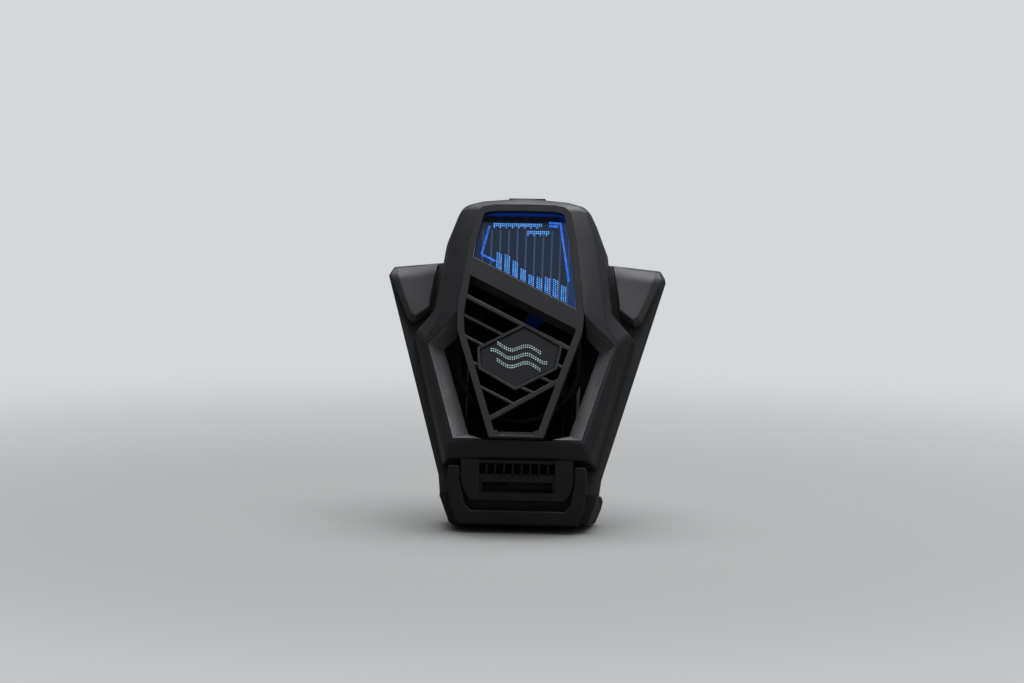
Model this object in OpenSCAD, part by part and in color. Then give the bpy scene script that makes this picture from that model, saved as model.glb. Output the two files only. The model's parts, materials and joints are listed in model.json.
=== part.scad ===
// Phone cooling fan that clamps over the back of a phone, in millimetres.
// X to the right, Y into the phone, Z up. The phone's back is the plane Y = 0.

/* [Phone] */
// Height of the phone between the two jaws
phone_h = 76.8; // [75.6:0.2:78.4]
// Thickness of the phone
phone_t = 8.9; // [8:0.1:10]

/* [Body] */
// Rise of the body's top above the phone's upper edge
top_rise = 9.2; // [8.8:0.1:10]
// Drop of the kickstand below the lower jaw's grip
foot_drop = 9.3; // [8.8:0.1:10]
// Width across the top corners
top_w = 41; // [40:0.5:43]
// Width of the upper body above the knuckles
waist_w = 51.2; // [50.8:0.2:52.4]
// Width across the knuckles
elbow_w = 63.4; // [61.4:0.2:64.4]
// Width across the button wings
ear_span = 82.2; // [80.6:0.2:86]
// Width at the lower end of the body
tail_w = 45.8; // [45.2:0.2:47.4]
// Width of the lower jaw
jaw_w = 47.4; // [46:0.2:49]
// Wall thickness of the mouldings
wall = 1.6; // [1.4:0.1:1.8]
// Gap between the rear housing and the phone
rear_gap = 0.6; // [0.4:0.1:0.7]

/* [Grille] */
// Width across the widest part of the grille
crest_w = 37.2; // [36.6:0.2:38]
// Width of the grille's foot
foot_w = 15.8; // [14:0.2:18]
// Width of the grille's rim
rim_w = 2; // [1.6:0.1:2.4]
// Upright height of the diagonal band
band_h = 5.9; // [5:0.1:6.4]
// Width of the slanted ribs
rib_w = 1.1; // [0.8:0.1:1.5]
// Width of the hexagon's frame
hex_frame_w = 0.9; // [0.7:0.1:1.2]
// Thickness of the grille
grille_t = 2.9; // [2.7:0.1:3.4]

/* [Cooling stack] */
// Thermal pad thickness
pad_t = 0.8; // [0.7:0.1:1.2]
// Cold plate thickness
plate_t = 2.6; // [2.5:0.1:3]
// Cold plate width
plate_w = 31; // [30:0.5:32]
// Cold plate height
plate_h = 40; // [36:0.5:40]
// Peltier module thickness
tec_t = 3.2; // [3:0.1:4]
// Peltier module width
tec_w = 30; // [26:0.5:30]
// Heat sink base thickness
base_t = 1.5; // [1.2:0.1:2]
// Fin height
fin_h = 5; // [4.5:0.1:6]
// Fin thickness
fin_t = 0.5; // [0.4:0.1:0.7]
// Fin spacing
fin_pitch = 2.55; // [2.45:0.05:2.6]
// Fins on each side of the middle one
fin_side = 6; // [5:1:6]

/* [Fan] */
// Fan frame depth
fan_d = 8.5; // [8:0.1:9.5]
// Blade tip radius
fan_r = 16.4; // [15:0.1:16.6]
// Hub radius
hub_r = 8; // [7.8:0.1:8.6]
// Blade count
blade_n = 9; // [7:1:11]
// Shaft radius
shaft_r = 0.9; // [0.8:0.05:1]
// Height of the fan's axis
fan_z = -3; // [-3.4:0.1:-2.6]

/* [Clamp] */
// Width of the upper jaw
clamp_w = 24; // [23:0.5:25]
// Travel of the upper jaw
clamp_travel = 6; // [4:0.5:6]
// Thickness of the rubber grips
grip_t = 0.8; // [0.6:0.1:1.1]
// Reach of the jaws over the phone's face
lip_h = 3.2; // [2.4:0.1:3.6]
// Thickness of the jaws' lips
lip_t = 2.5; // [2:0.1:3]
// Clamp spring radius
spring_r = 1.5; // [1.2:0.1:1.5]
// Spring wire thickness
wire_t = 0.5; // [0.4:0.05:0.55]

/* [Buttons] */
// Travel of the side buttons
button_travel = 0.8; // [0.5:0.1:0.9]
// Depth of the finger scoop
scoop_d = 1.1; // [0.8:0.1:1.4]
// Release button width
release_w = 10.8; // [9:0.2:12]
// Release button travel
release_travel = 1.2; // [0.8:0.1:1.4]

/* [Kickstand] */
// Width across the kickstand's arms
kick_w = 40; // [39:0.2:41]
// Kickstand thickness, front to back
kick_t = 3.6; // [3.4:0.1:3.8]
// Kickstand pin radius
pin_r = 1; // [0.8:0.05:1.2]
// Vent panel width
vent_w = 32.6; // [31.6:0.2:32.8]

/* [Port] */
// Length of the plug above the lower grip
plug_len = 6.5; // [6:0.1:6.8]

/* [Hidden] */
$fn = 48;

// Named clearances
seam = 0.2;          // between fixed mouldings
rim_gap = 0.08;      // between the grille and the cover
move_gap = 0.4;      // between pieces that move past each other
run_gap = 0.05;      // radial, pin or shaft in its bore
press_gap = 0.02;    // radial, pressed pieces
// longer than any piece, for cuts that pass right through
far = 2 * (phone_h + top_rise);

// Depths of the stack, front negative
y_pad = -pad_t;
y_plate = y_pad - plate_t;
y_tec = y_plate - tec_t;
y_base = y_tec - base_t;
y_fin = y_base - fin_h;
y_fan = y_fin - fan_d;
guard_gap = 0.5;
y_guard = y_fan - guard_gap;
y_front = y_guard - grille_t;
y_rear = -rear_gap;
y_floor = y_rear - wall;
y_part = y_tec + 0.6;

// Heights
top_z = phone_h / 2 + top_rise;
grip_z = phone_h / 2 + grip_t;
cover_z = -grip_z + 8.6;
foot_z = -grip_z - foot_drop;
shoulder_z = top_z - 14.6;
waist_z = 13.8;
elbow_z = 7.4;
fin_top = top_z - 8.6;
fin_bot = cover_z + 1.8;
grille_bot = cover_z + 4.6;
win_top = top_z - 6;

// Kickstand's plane, from its top to its foot
kick_z0 = cover_z - 3.4;
kick_y0 = y_front + 8.8;
kick_y1 = y_part - 2;
kick_slope = (kick_y1 - kick_y0) / (kick_z0 - foot_z);
function kick_y(z) = kick_y0 + (kick_z0 - z) * kick_slope;
hinge_z = kick_z0 - 1.2;
hinge_y = kick_y(hinge_z) + kick_t / 2;
// lower end of the room that the vent panel's cheeks stand in
room_z = -grip_z + 1.6;

// Outlines, right half from the top middle clockwise
function sym(half) = concat(half, [for (i = [len(half) - 1:-1:0])
    if (half[i][0] > 0) [for (k = [0:len(half[i]) - 1]) k == 0 ? -half[i][0] : half[i][k]]]);
function unit(v) = v / norm(v);
function inward(a, b) = let (d = unit(b - a)) [d[1], -d[0]];
// Closed clockwise outline moved inward by t
function inset(pts, t) = let (n = len(pts)) [for (i = [0:n - 1])
    let (m = inward(pts[(i + n - 1) % n], pts[i]), k = inward(pts[i], pts[(i + 1) % n]))
    pts[i] + t * (m + k) / (1 + m * k)];
function flat(ring) = [for (p = ring) [p[0], p[2]]];
function at_y(outline, y) = [for (p = outline) [p[0], y, p[1]]];
function shift_y(ring, d) = [for (p = ring) p + [0, d, 0]];

top_curve = [[0, top_z], [12.8, top_z - 0.8], [top_w / 2 - 2.7, top_z - 2.2],
    [top_w / 2 - 0.3, top_z - 4.9]];
cover_base = sym(concat(top_curve, [[waist_w / 2 - 1.6, shoulder_z], [waist_w / 2 + 0.7, waist_z],
    [elbow_w / 2 + 1.3, elbow_z], [tail_w / 2, cover_z - 1],
    [9.5, cover_z - 1], [0, cover_z - 1]]));
// widest edge of the cover, in front of its upright sides
y_wide = y_front + 6;
cover_mid = sym([[0, y_wide, top_z - 0.6], [12.4, y_wide, top_z - 1.6],
    [top_w / 2 - 3.3, y_wide, top_z - 2.9], [top_w / 2 - 1.2, y_wide, top_z - 5],
    [waist_w / 2 - 2.5, y_front + 8, shoulder_z], [waist_w / 2 + 0.2, y_front + 8.6, waist_z - 0.1],
    [elbow_w / 2 - 0.2, y_front + 11.2, elbow_z + 0.3],
    [tail_w / 2 - 1.8, y_front + 9, cover_z - 0.2], [9.5, y_front + 6.6, cover_z],
    [0, y_front + 6.6, cover_z]]);
// crease where the front facets begin
y_crease = y_front + 2.4;
cover_crease = sym([[0, y_crease, top_z - 1.4], [12, y_crease, top_z - 2.5],
    [top_w / 2 - 3.9, y_crease, top_z - 3.7], [top_w / 2 - 2, y_crease, top_z - 5.2],
    [waist_w / 2 - 4, y_crease + 0.2, shoulder_z], [waist_w / 2 - 1.1, y_front + 5, 9.7],
    [elbow_w / 2 - 3.4, y_front + 7.7, 4.4],
    [tail_w / 2 - 3.1, y_front + 6.2, cover_z + 3.6], [9.5, y_front + 5.2, cover_z + 1.6],
    [0, y_front + 5.2, cover_z + 1.6]]);
// front edge, flush with the grille
y_lip = y_front + 0.1;
cover_edge = sym([[0, y_lip, top_z - 3.9], [9, y_lip, top_z - 4.1],
    [crest_w / 2 - 6.5, y_lip, top_z - 4.7], [crest_w / 2 - 5, y_lip, top_z - 6], [crest_w / 2 - 3, y_lip, shoulder_z],
    [crest_w / 2, y_front + 0.6, 10.9], [elbow_w / 2 - 4.2, y_front + 7.3, 3.3],
    [tail_w / 2 - 4, y_front + 5.6, cover_z + 5.2], [9.5, y_front + 3.2, cover_z + 4.4],
    [0, y_front + 3.2, cover_z + 4.4]]);
cover_in = inset(cover_base, wall);
cover_mid_in = let (q = inset(flat(cover_mid), wall)) [for (i = [0:len(q) - 1])
    [q[i][0], cover_mid[i][1] + wall / 2, q[i][1]]];
edge_d = 2.2;

rear_out = sym(concat(top_curve, [[waist_w / 2 - 1.9, 30.8], [ear_span / 2 - 1.6, 29.2],
    [ear_span / 2, 26.6], [tail_w / 2 + 0.9, cover_z - 3], [tail_w / 2 + 0.3, -grip_z], [0, -grip_z]]));

// Button cap outlines, right side
cap_base = [[waist_w / 2 + 0.1, 29.5], [ear_span / 2 - 1.9, 28.3], [ear_span / 2 - 0.8, 26],
    [ear_span / 2 - 6.6, 12.6], [ear_span / 2 - 8.3, 11.4], [waist_w / 2 + 2.4, 14.2]];
y_cap = y_part - button_travel - move_gap;
cap_face = [[waist_w / 2 + 0.3, y_cap - 5.8, 29.4], [ear_span / 2 - 2.7, y_cap - 3.6, 27.9],
    [ear_span / 2 - 3.3, y_cap - 3.8, 26.2], [ear_span / 2 - 8.2, y_cap - 4, 14.2],
    [ear_span / 2 - 9.3, y_cap - 4.3, 13.4], [waist_w / 2 + 2.7, y_cap - 5.6, 15.9]];
button_x = (waist_w + ear_span) / 4 - 0.25;
button_z = 20.5;
stem_w = 5;
collar_w = stem_w + 2 * move_gap;

// Screw places
// upper bosses stand 3.7 inside the cover's slanted side
top_boss_x = 0.48 * top_w / 2 + 0.52 * (waist_w / 2 - 1.6) - 3.7;
cover_bosses = [[top_boss_x, top_z - 10.1], [-top_boss_x, top_z - 10.1],
    [tail_w / 2 - 3.8, cover_z + 3.1], [3.8 - tail_w / 2, cover_z + 3.1]];
sink_x = fin_side * fin_pitch + 3.9;
sink_bosses = [[sink_x, 15], [-sink_x, 15], [sink_x, -19], [-sink_x, -19]];
boss_r = 2;
screw_r = 0.9;
head_r = 1.8;
jaw_head_r = 1.5;
jaw_screw_x = 17.9;
jaw_screw_y = y_rear - 2;

// Clamp
tongue_w = 14;
tongue_t = 1.6;
y_tongue = y_floor - move_gap;
lug_z = plate_h / 2 + 3;
lug_h = 2.4;
spring_x = clamp_w / 2 - 1.7;
spring_y = y_floor - spring_r - wire_t / 2 - 0.1;
stop_z = grip_z - 1.8;

// Solid prism along Y from an XZ outline
module slab(front, back) translate([0, back, 0]) rotate([90, 0, 0])
    linear_extrude(height = back - front) children();
// Solid prism along X from a YZ outline
module across(x0, x1, pts) translate([x0, 0, 0]) rotate([90, 0, 90])
    linear_extrude(height = x1 - x0) polygon(pts);
module box(a, b) translate(a) cube(b - a);
module rod_y(x, z, y0, y1, r) translate([x, y1, z]) rotate([90, 0, 0]) cylinder(h = y1 - y0, r = r);
module rod_x(x0, x1, y, z, r) translate([x0, y, z]) rotate([0, 90, 0]) cylinder(h = x1 - x0, r = r);
module both() { children(); mirror([1, 0, 0]) children(); }

// Closed rings of points, front to back, joined by triangles; the seam that
// halves each side is mirrored so both halves look alike
function ring_sides(n, pairs) = [for (k = pairs) for (i = [0:n - 1])
    let (a = k[0] * n + i, b = k[0] * n + (i + 1) % n, c = k[1] * n + i, d = k[1] * n + (i + 1) % n)
    each (2 * i < n - 1 ? [[a, c, b], [b, c, d]] : [[a, c, d], [a, d, b]])];
module loft(rings) {
    n = len(rings[0]);
    last = len(rings) - 1;
    polyhedron([for (r = rings) each r],
        concat([[for (i = [0:n - 1]) i]], ring_sides(n, [for (k = [0:last - 1]) [k, k + 1]]),
            [[for (i = [n - 1:-1:0]) last * n + i]]));
}
// Open shell through outer rings and back along inner rings
module ring_shell(rings) {
    n = len(rings[0]);
    m = len(rings);
    polyhedron([for (r = rings) each r], ring_sides(n, [for (k = [0:m - 1]) [k, (k + 1) % m]]));
}
// Bar of width w from p to q in a plan
module bar(p, q, w) {
    s = w / 2 * [p[1] - q[1], q[0] - p[0]] / norm(q - p);
    polygon([p + s, q + s, q - s, p - s]);
}
module stadium(w, h) {
    translate([h / 2 - w / 2, 0]) circle(d = h);
    translate([w / 2 - h / 2, 0]) circle(d = h);
    square([w - h, h], center = true);
}
// Coil along Z
module coil(r, wire, len, turns) {
    steps = turns * 12;
    sides = 6;
    pts = [for (i = [0:steps]) let (a = 30 * i, z = wire / 2 + (len - wire) * i / steps)
        for (j = [0:sides - 1]) let (b = 60 * j, q = r + wire / 2 * cos(b))
            [q * cos(a), q * sin(a), z + wire / 2 * sin(b)]];
    turn = 12 * sides;
    rises = [for (i = [0:len(pts) - 1 - turn]) norm(pts[i + turn] - pts[i])];
    echo(least_gap_between_turns = min(rises) - wire);
    polyhedron(pts, concat([[for (j = [0:sides - 1]) j]],
        [for (i = [0:steps - 1]) for (j = [0:sides - 1])
            let (a = i * sides + j, b = i * sides + (j + 1) % sides)
            each [[a, a + sides, b + sides], [a, b + sides, b]]],
        [[for (j = [sides - 1:-1:0]) steps * sides + j]]));
}

// Grille plans
grille_out = sym([[0, top_z - 3.9 - rim_gap], [9, top_z - 4.1 - rim_gap],
    [crest_w / 2 - 6.5 - rim_gap, top_z - 4.7 - rim_gap], [crest_w / 2 - 5 - rim_gap, top_z - 6],
    [crest_w / 2 - 3 - rim_gap, shoulder_z], [crest_w / 2 - rim_gap, 10.8],
    [crest_w / 2 - 0.4, 5.4], [foot_w / 2, grille_bot], [0, grille_bot]]);
hexagon = [[1.3, 6.9], [11.6, 1.3], [10.4, -5.1], [-0.7, -11.1], [-10.9, -5.3], [-11.3, 0]];
band_top = 20.5;
band_tilt = 0.5;
band_slope = 1.8;
function band_line(x, z0) = [x, z0 - band_tilt * x];
module half_plane(z0, up) polygon([band_line(-far, z0), band_line(far, z0),
    [far, up ? far : -far], [-far, up ? far : -far]]);
module window_plan(gap) intersection() {
    polygon(inset(grille_out, rim_w + gap));
    half_plane(band_top + gap * 1.2, true);
    translate([-far / 2, win_top - gap - far]) square(far);
}
module rib_plan() {
    bar([-20, 17.9], [20, -2.1], rib_w + 0.2);
    bar([-20, 11.9], [-2, 2.9], rib_w - 0.2);
    bar([-20, 5.9], [-7, -0.6], rib_w - 0.2);
    bar([-20, -0.7], [-8, -6.7], rib_w - 0.2);
    bar([-16, -8.6], [-0.2, -16.5], rib_w - 0.2);
    bar([-1, -10.2], [5.4, -13.1], rib_w - 0.2);
    bar([5, -7.4], [10.9, -9.9], rib_w - 0.2);
    bar([9, -3.1], [18, -7.6], rib_w - 0.2);
    bar([20, -4.1], [-14, -24.2], rib_w + 0.4);
}

module rear_housing() color("#2b2c30") {
    difference() {
        union() {
            slab(y_part, y_rear - 0.7) polygon(rear_out);
            slab(y_rear - 0.8, y_rear) polygon(inset(rear_out, 0.7));
        }
        difference() {
            slab(y_part - 1, y_floor) polygon(cover_in);
            for (p = cover_bosses) rod_y(p[0], p[1], y_part - 2, y_floor + 1, boss_r - 0.4);
            both() box([spring_x - 1.7, y_floor - 3, stop_z], [spring_x + 1.7, y_floor + 1, stop_z + 1.2]);
            both() box([tongue_w / 2 + move_gap, y_floor - 2.8, stop_z - 5],
                [tongue_w / 2 + move_gap + 0.9, y_floor + 1, stop_z + 1.2]);
        }
        both() slab(y_part - 1, y_floor) polygon(inset(cap_base, 1.4));
        both() translate([button_x, 0, button_z]) slab(y_part - 1, y_floor) square(collar_w, center = true);
        // room for the board and the vent panel's cheeks
        box([-vent_w / 2 - seam, y_part - 1, room_z], [vent_w / 2 + seam, y_floor, cover_z + 2]);
        // cold plate's opening
        box([-plate_w / 2 - seam, y_floor - 1, -plate_h / 2 - seam],
            [plate_w / 2 + seam, 1, plate_h / 2 + seam]);
        // notch for the upper jaw
        box([-clamp_w / 2 - move_gap, y_part - 1, stop_z + 1.2], [clamp_w / 2 + move_gap, 1, top_z + 1]);
        for (p = cover_bosses) {
            rod_y(p[0], p[1], y_part - 3, 1, screw_r + 0.1);
            rod_y(p[0], p[1], y_rear - 0.9, 1, head_r + 0.1);
        }
        for (p = sink_bosses) rod_y(p[0], p[1], y_tec - 1, y_floor + 0.8, screw_r + press_gap);
        both() translate([jaw_screw_x, jaw_screw_y, -grip_z - 1])
            cylinder(h = 6.2, r = screw_r + press_gap);
    }
    // bosses under the heat sink
    for (p = sink_bosses) difference() {
        rod_y(p[0], p[1], y_tec, y_floor, boss_r);
        rod_y(p[0], p[1], y_tec - 1, y_floor + 1, screw_r + press_gap);
    }
    // posts under the control board
    both() for (z = [cover_z + 0.6, -grip_z + 3]) rod_y(11, z, y_floor - 1.2, y_floor, 1.2);
    // collars that guide the side buttons
    both() difference() {
        translate([button_x, 0, button_z]) slab(y_part + 0.4, y_floor) square(collar_w + 2, center = true);
        translate([button_x, 0, button_z]) slab(y_part - 1, y_floor + 1) square(collar_w, center = true);
    }
}

module front_cover() color("#303136") difference() {
    union() {
        ring_shell([cover_edge, cover_crease, cover_mid, at_y(cover_base, y_part), at_y(cover_in, y_part),
            cover_mid_in, shift_y(cover_edge, edge_d)]);
        // screw bosses, cut to the shell's own wall
        intersection() {
            loft([cover_mid, at_y(cover_base, y_part), at_y(cover_base, y_floor)]);
            for (i = [0:3]) rod_y(cover_bosses[i][0], cover_bosses[i][1],
                i < 2 ? y_front + 10 : y_fin, y_part, boss_r);
        }
        // shelf under the release button
        both() box([release_w / 2 + 2, y_fin - 0.4, fin_top + 0.6],
            [release_w / 2 + 3.4, y_fin + 2.6, top_z - 1.6]);
        box([-release_w / 2 - 3.4, y_fin - 0.4, fin_top + 0.6],
            [release_w / 2 + 3.4, y_fin + 2.6, fin_top + 1.6]);
    }
    for (p = cover_bosses) rod_y(p[0], p[1], y_part - 6, 1, screw_r + press_gap);
    // hole for the release button
    box([-release_w / 2 - 0.3, y_fin - 1.5, top_z - 4], [release_w / 2 + 0.3, y_fin + 3.7, top_z + 1]);
    // way out for the air, into the vent panel
    box([-11.5, y_fin, cover_z - 2], [11.5, y_part - 1.2, cover_z + 3]);
}

module grille() color("#35363b") {
    difference() {
        slab(y_front, y_guard) difference() {
            polygon(grille_out);
            window_plan(0);
            intersection() {
                polygon(inset(grille_out, rim_w));
                half_plane(band_top - band_h, false);
            }
        }
        // sloped sill between the feet of the rim
        across(rim_w + 0.6 - foot_w / 2, foot_w / 2 - rim_w - 0.6, [[y_front - 1, grille_bot + 0.4],
            [y_front - 1, grille_bot + rim_w + 1], [y_guard, grille_bot + rim_w + 1],
            [y_guard, grille_bot + rim_w - 0.1], [y_front, grille_bot + 0.4]]);
    }
    // slope under the band
    intersection() {
        slab(y_front, y_guard) polygon(inset(grille_out, rim_w / 2));
        translate([0, 0, band_top - band_h]) rotate([0, atan(band_tilt), 0])
            across(-far, far, [[y_front + 0.3, 0.1], [y_guard, 0.1], [y_guard, -band_slope]]);
    }
    slab(y_front + 0.4, y_front + 2.4) difference() {
        intersection() {
            polygon(inset(grille_out, rim_w / 2));
            rib_plan();
        }
        polygon(hexagon);
    }
    slab(y_front + 0.3, y_front + 2.5) difference() {
        polygon(inset(hexagon, -hex_frame_w));
        polygon(hexagon);
    }
    // foot on the lower panel's edge
    box([-foot_w / 2 + 0.4, y_front + 1.2, grille_bot], [foot_w / 2 - 0.4, y_front + 5, grille_bot + 1.8]);
}

module window_lens() color("#6f8fb8") slab(y_front + 1.2, y_front + 2.4) window_plan(seam);

module light_panel() color("#8aa5c8") slab(y_guard, y_guard + 0.8) window_plan(-0.8);

module led_strip() color("#1d3a5c") {
    box([-9.4, y_guard, win_top + 1.2], [9.4, y_guard + 2, win_top + 1.8]);
    for (i = [-3:3]) translate([i * 2.8, 0, win_top])
        box([-0.8, y_guard + 0.05, 0.85], [0.8, y_guard + 1.2, 1.2]);
}

module badge_plate() color("#3a3b40") slab(y_front + 0.7, y_front + 1.7) polygon(inset(hexagon, 0.15));

module badge_board() color("#20402c") slab(y_front + 1.7, y_front + 2.5) polygon(inset(hexagon, 0.5));

// One recess bezel, side 1 or -1: its front edge, its deep edge and the same edges moved back;
// both faces are halved along the same diagonals, so the wall keeps its thickness
bezel_t = 1.2;
module bezel(side) {
    front = [cover_edge[5], cover_edge[6], cover_edge[7], [10.2, y_front + 3.6, cover_z + 4.6]];
    y_deep = y_fin - bezel_t - seam;
    deep = [[crest_w / 2 + 0.4, y_deep, 6], [elbow_w / 2 - 9, y_deep, 2],
        [tail_w / 2 - 8.2, y_deep, cover_z + 7.4], [10.6, y_deep, cover_z + 6.2]];
    f = [for (i = [0:3]) front[i] + seam * unit([deep[i][0] - front[i][0], 0, deep[i][2] - front[i][2]])];
    n = 4;
    faces = concat([[3, 2, 1, 0]],
        [for (i = [0:2]) for (j = [0:3]) let (a = i * n + j, b = i * n + (j + 1) % n)
            each (j < 2 ? [[a, b, a + n], [b, b + n, a + n]] : [[a, b, b + n], [a, b + n, a + n]])],
        [[12, 13, 14, 15]]);
    polyhedron([for (i = [0:3]) for (q = [f[i], deep[i], deep[i] + [0, bezel_t, 0], f[i] + [0, 1.7, 0]])
            [side * q[0], q[1], q[2]]],
        side > 0 ? faces : [for (t = faces) [for (k = [len(t) - 1:-1:0]) t[k]]]);
}
module right_bezel() color("#8c8e93") bezel(1);
module left_bezel() color("#8c8e93") bezel(-1);

module button_cap() {
    difference() {
        loft([cap_face, at_y(cap_base, y_cap - 1.4), at_y(cap_base, y_cap)]);
        // finger scoop through the face's inner and outer edges
        a = [cap_face[0][0], cap_face[0][1]];
        b = [cap_face[1][0], cap_face[1][1]];
        chord = norm(b - a);
        r = chord * chord / (8 * scoop_d) + scoop_d / 2;
        c = (a + b) / 2 + (r - scoop_d) * [b[1] - a[1], a[0] - b[0]] / chord;
        translate([c[0], c[1], 0]) cylinder(h = far, r = r, $fn = 96);
    }
    translate([button_x, 0, button_z]) slab(y_cap - 0.5, y_floor - 1.8 - button_travel - 0.1)
        square(stem_w, center = true);
}
module right_button() color("#55575d") button_cap();
module left_button() color("#55575d") mirror([1, 0, 0]) button_cap();

module switch() {
    translate([button_x, 0, button_z]) slab(y_floor - 1.4, y_floor) square(3.6, center = true);
    rod_y(button_x, button_z, y_floor - 1.8, y_floor - 1.4, 1);
}
module right_switch() color("#c9c9c4") switch();
module left_switch() color("#c9c9c4") mirror([1, 0, 0]) switch();

lip_y = phone_t + 0.4;
module upper_jaw() color("#2e2f34") {
    difference() {
        across(-clamp_w / 2, clamp_w / 2, [[y_part + 0.6, grip_z], [y_part + 0.6, top_z - 0.4],
            [y_rear, top_z - 0.4], [2, grip_z + 4.4], [lip_y + lip_t - 1.4, grip_z + 4.4],
            [lip_y + lip_t, grip_z + 3], [lip_y + lip_t, grip_z - lip_h], [lip_y, grip_z - lip_h],
            [lip_y, grip_z]]);
        // teeth for the release button's nose
        for (k = [0:2]) across(-3, 3, [[y_part + 0.5, grip_z + 1 + 2 * k],
            [y_part + 1.1, grip_z + 1 + 2 * k],
            [y_part + 0.5, grip_z + 2.4 + 2 * k]]);
    }
    box([-tongue_w / 2, y_tongue - tongue_t, lug_z], [tongue_w / 2, y_tongue, grip_z]);
    both() box([tongue_w / 2 - 1, y_tongue - 2, lug_z], [clamp_w / 2 + 0.6, y_tongue, lug_z + lug_h]);
}
module upper_jaw_pad() color("#17181a")
    box([-clamp_w / 2 + 1, 0.6, phone_h / 2], [clamp_w / 2 - 1, lip_y - 0.6, grip_z]);

module clamp_spring() translate([spring_x, spring_y, lug_z + lug_h])
    coil(spring_r, wire_t, stop_z - lug_z - lug_h, 6);
module right_clamp_spring() color("#b9bcc0") clamp_spring();
module left_clamp_spring() color("#b9bcc0") mirror([1, 0, 0]) clamp_spring();

module release_button() color("#1f2023") {
    box([-release_w / 2, y_fin - 1.2, fin_top + 5], [release_w / 2, y_fin + 3.4, top_z + 0.9]);
    box([-release_w / 2 - 1.2, y_fin - 1.6, fin_top + 4.4],
        [release_w / 2 + 1.2, y_fin + 3.8, fin_top + 5.6]);
    box([-2.4, y_fin + 3, fin_top + 4.4], [2.4, y_part + 0.2, fin_top + 5.6]);
}
module release_spring() color("#b9bcc0") translate([0, y_fin + 1.1, fin_top + 1.6])
    coil(1.1, 0.35, 2.8, 3);

// underside of the lower jaw, rising toward the phone's screen
jaw_y0 = kick_y(foot_z + 0.9) + kick_t + 0.5;
jaw_rise = 3.7 / (lip_y + lip_t - jaw_y0);
function jaw_under(y) = foot_z + 0.9 + (y - jaw_y0) * jaw_rise;
module lower_jaw() color("#2b2c30") difference() {
    intersection() {
        across(-jaw_w / 2, jaw_w / 2, [[kick_y(-grip_z) + kick_t + 0.5, -grip_z],
            [jaw_y0, jaw_under(jaw_y0)], [lip_y + lip_t - 1, jaw_under(lip_y + lip_t - 1)],
            [lip_y + lip_t, jaw_under(lip_y + lip_t) + 0.9], [lip_y + lip_t, -grip_z + lip_h],
            [lip_y, -grip_z + lip_h], [lip_y, -grip_z]]);
        slab(-far, far) polygon(sym([[jaw_w / 2 - 0.8, -grip_z + lip_h + 1],
            [jaw_w / 2, -grip_z + lip_h - 1], [jaw_w / 2 - 0.4, -grip_z - 0.3],
            [jaw_w / 2 - 2.4, -grip_z - 5.6], [jaw_w / 2 - 4.2, foot_z - 1]]));
        // narrower toward the front
        translate([0, 0, -far]) linear_extrude(height = far) polygon([[-jaw_w / 2, far], [jaw_w / 2, far],
            [jaw_w / 2, 1], [jaw_w / 2 - 1.3, kick_y0], [1.3 - jaw_w / 2, kick_y0], [-jaw_w / 2, 1]]);
    }
    box([-10.6, -3.6, foot_z - 1], [10.6, phone_t - 1.6, -grip_z - 1.4]);
    translate([0, phone_t / 2, -grip_z - 2]) linear_extrude(height = 3) stadium(8.7, 2.9);
    both() translate([jaw_screw_x, jaw_screw_y, foot_z]) {
        cylinder(h = 20, r = screw_r + 0.1);
        cylinder(h = 5.2, r = jaw_head_r + 0.1);
    }
}
module lower_jaw_pad() color("#17181a") difference() {
    box([-jaw_w / 2 + 3, 0.6, -grip_z], [jaw_w / 2 - 3, lip_y - 0.6, -phone_h / 2]);
    translate([0, phone_t / 2, -grip_z - 1]) linear_extrude(height = 4) stadium(11, 4.4);
}
port_y = 1.2;
socket_h = 2.56;
socket_skin = 0.3;
socket_y = port_y - socket_h / 2 - socket_skin;
socket_z = jaw_under(socket_y) + 0.2;
module jaw_cover() color("#26272b") difference() {
    across(-10.4, 10.4, [[-3.4, jaw_under(-3.4)], [-3.4, jaw_under(-3.4) + 1.3],
        [phone_t - 1.8, jaw_under(phone_t - 1.8) + 1.3], [phone_t - 1.8, jaw_under(phone_t - 1.8)]]);
    translate([0, socket_y, foot_z]) linear_extrude(height = 6) stadium(9.4, 3.7);
}
module usb_plug() color("#b8bbc0") {
    difference() {
        translate([0, phone_t / 2, -grip_z - 1.6])
            linear_extrude(height = plug_len + 1.6) stadium(8.25, 2.4);
        translate([0, phone_t / 2, -grip_z + plug_len - 5]) linear_extrude(height = 6) stadium(7.7, 1.85);
    }
    box([-5.8, port_y + 1, -grip_z - 4.4], [5.8, phone_t - 2.2, -grip_z - 1.6]);
}
module usb_socket() color("#b8bbc0") difference() {
    translate([0, socket_y, socket_z]) linear_extrude(height = 5.4)
        stadium(8.34 + 2 * socket_skin, socket_h + 2 * socket_skin);
    translate([0, socket_y, socket_z - 1]) linear_extrude(height = 6) stadium(8.34, socket_h);
}
module socket_tongue() color("#111214")
    box([-3.3, socket_y - 0.35, socket_z + 0.6], [3.3, socket_y + 0.35, socket_z + 5]);
module port_board() color("#1e4a34")
    box([-9.6, port_y, jaw_under(port_y + 1) + 1.5], [9.6, port_y + 1, -grip_z - 1.6]);

// Vent panel: sloped plate with a sunk middle between two rails, two slots, slats
// and the cheeks that carry the pins
vent_top = cover_z - 1.3;
vent_bot = foot_z + 6.5;
slot_x = 11;
vent_bend = kick_z0 - 0.6;
upper_slot = [cover_z - 4.2, cover_z - 1.4];
lower_slot = [cover_z - 9.2, cover_z - 6.4];
vent_sink = 0.8;
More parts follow.
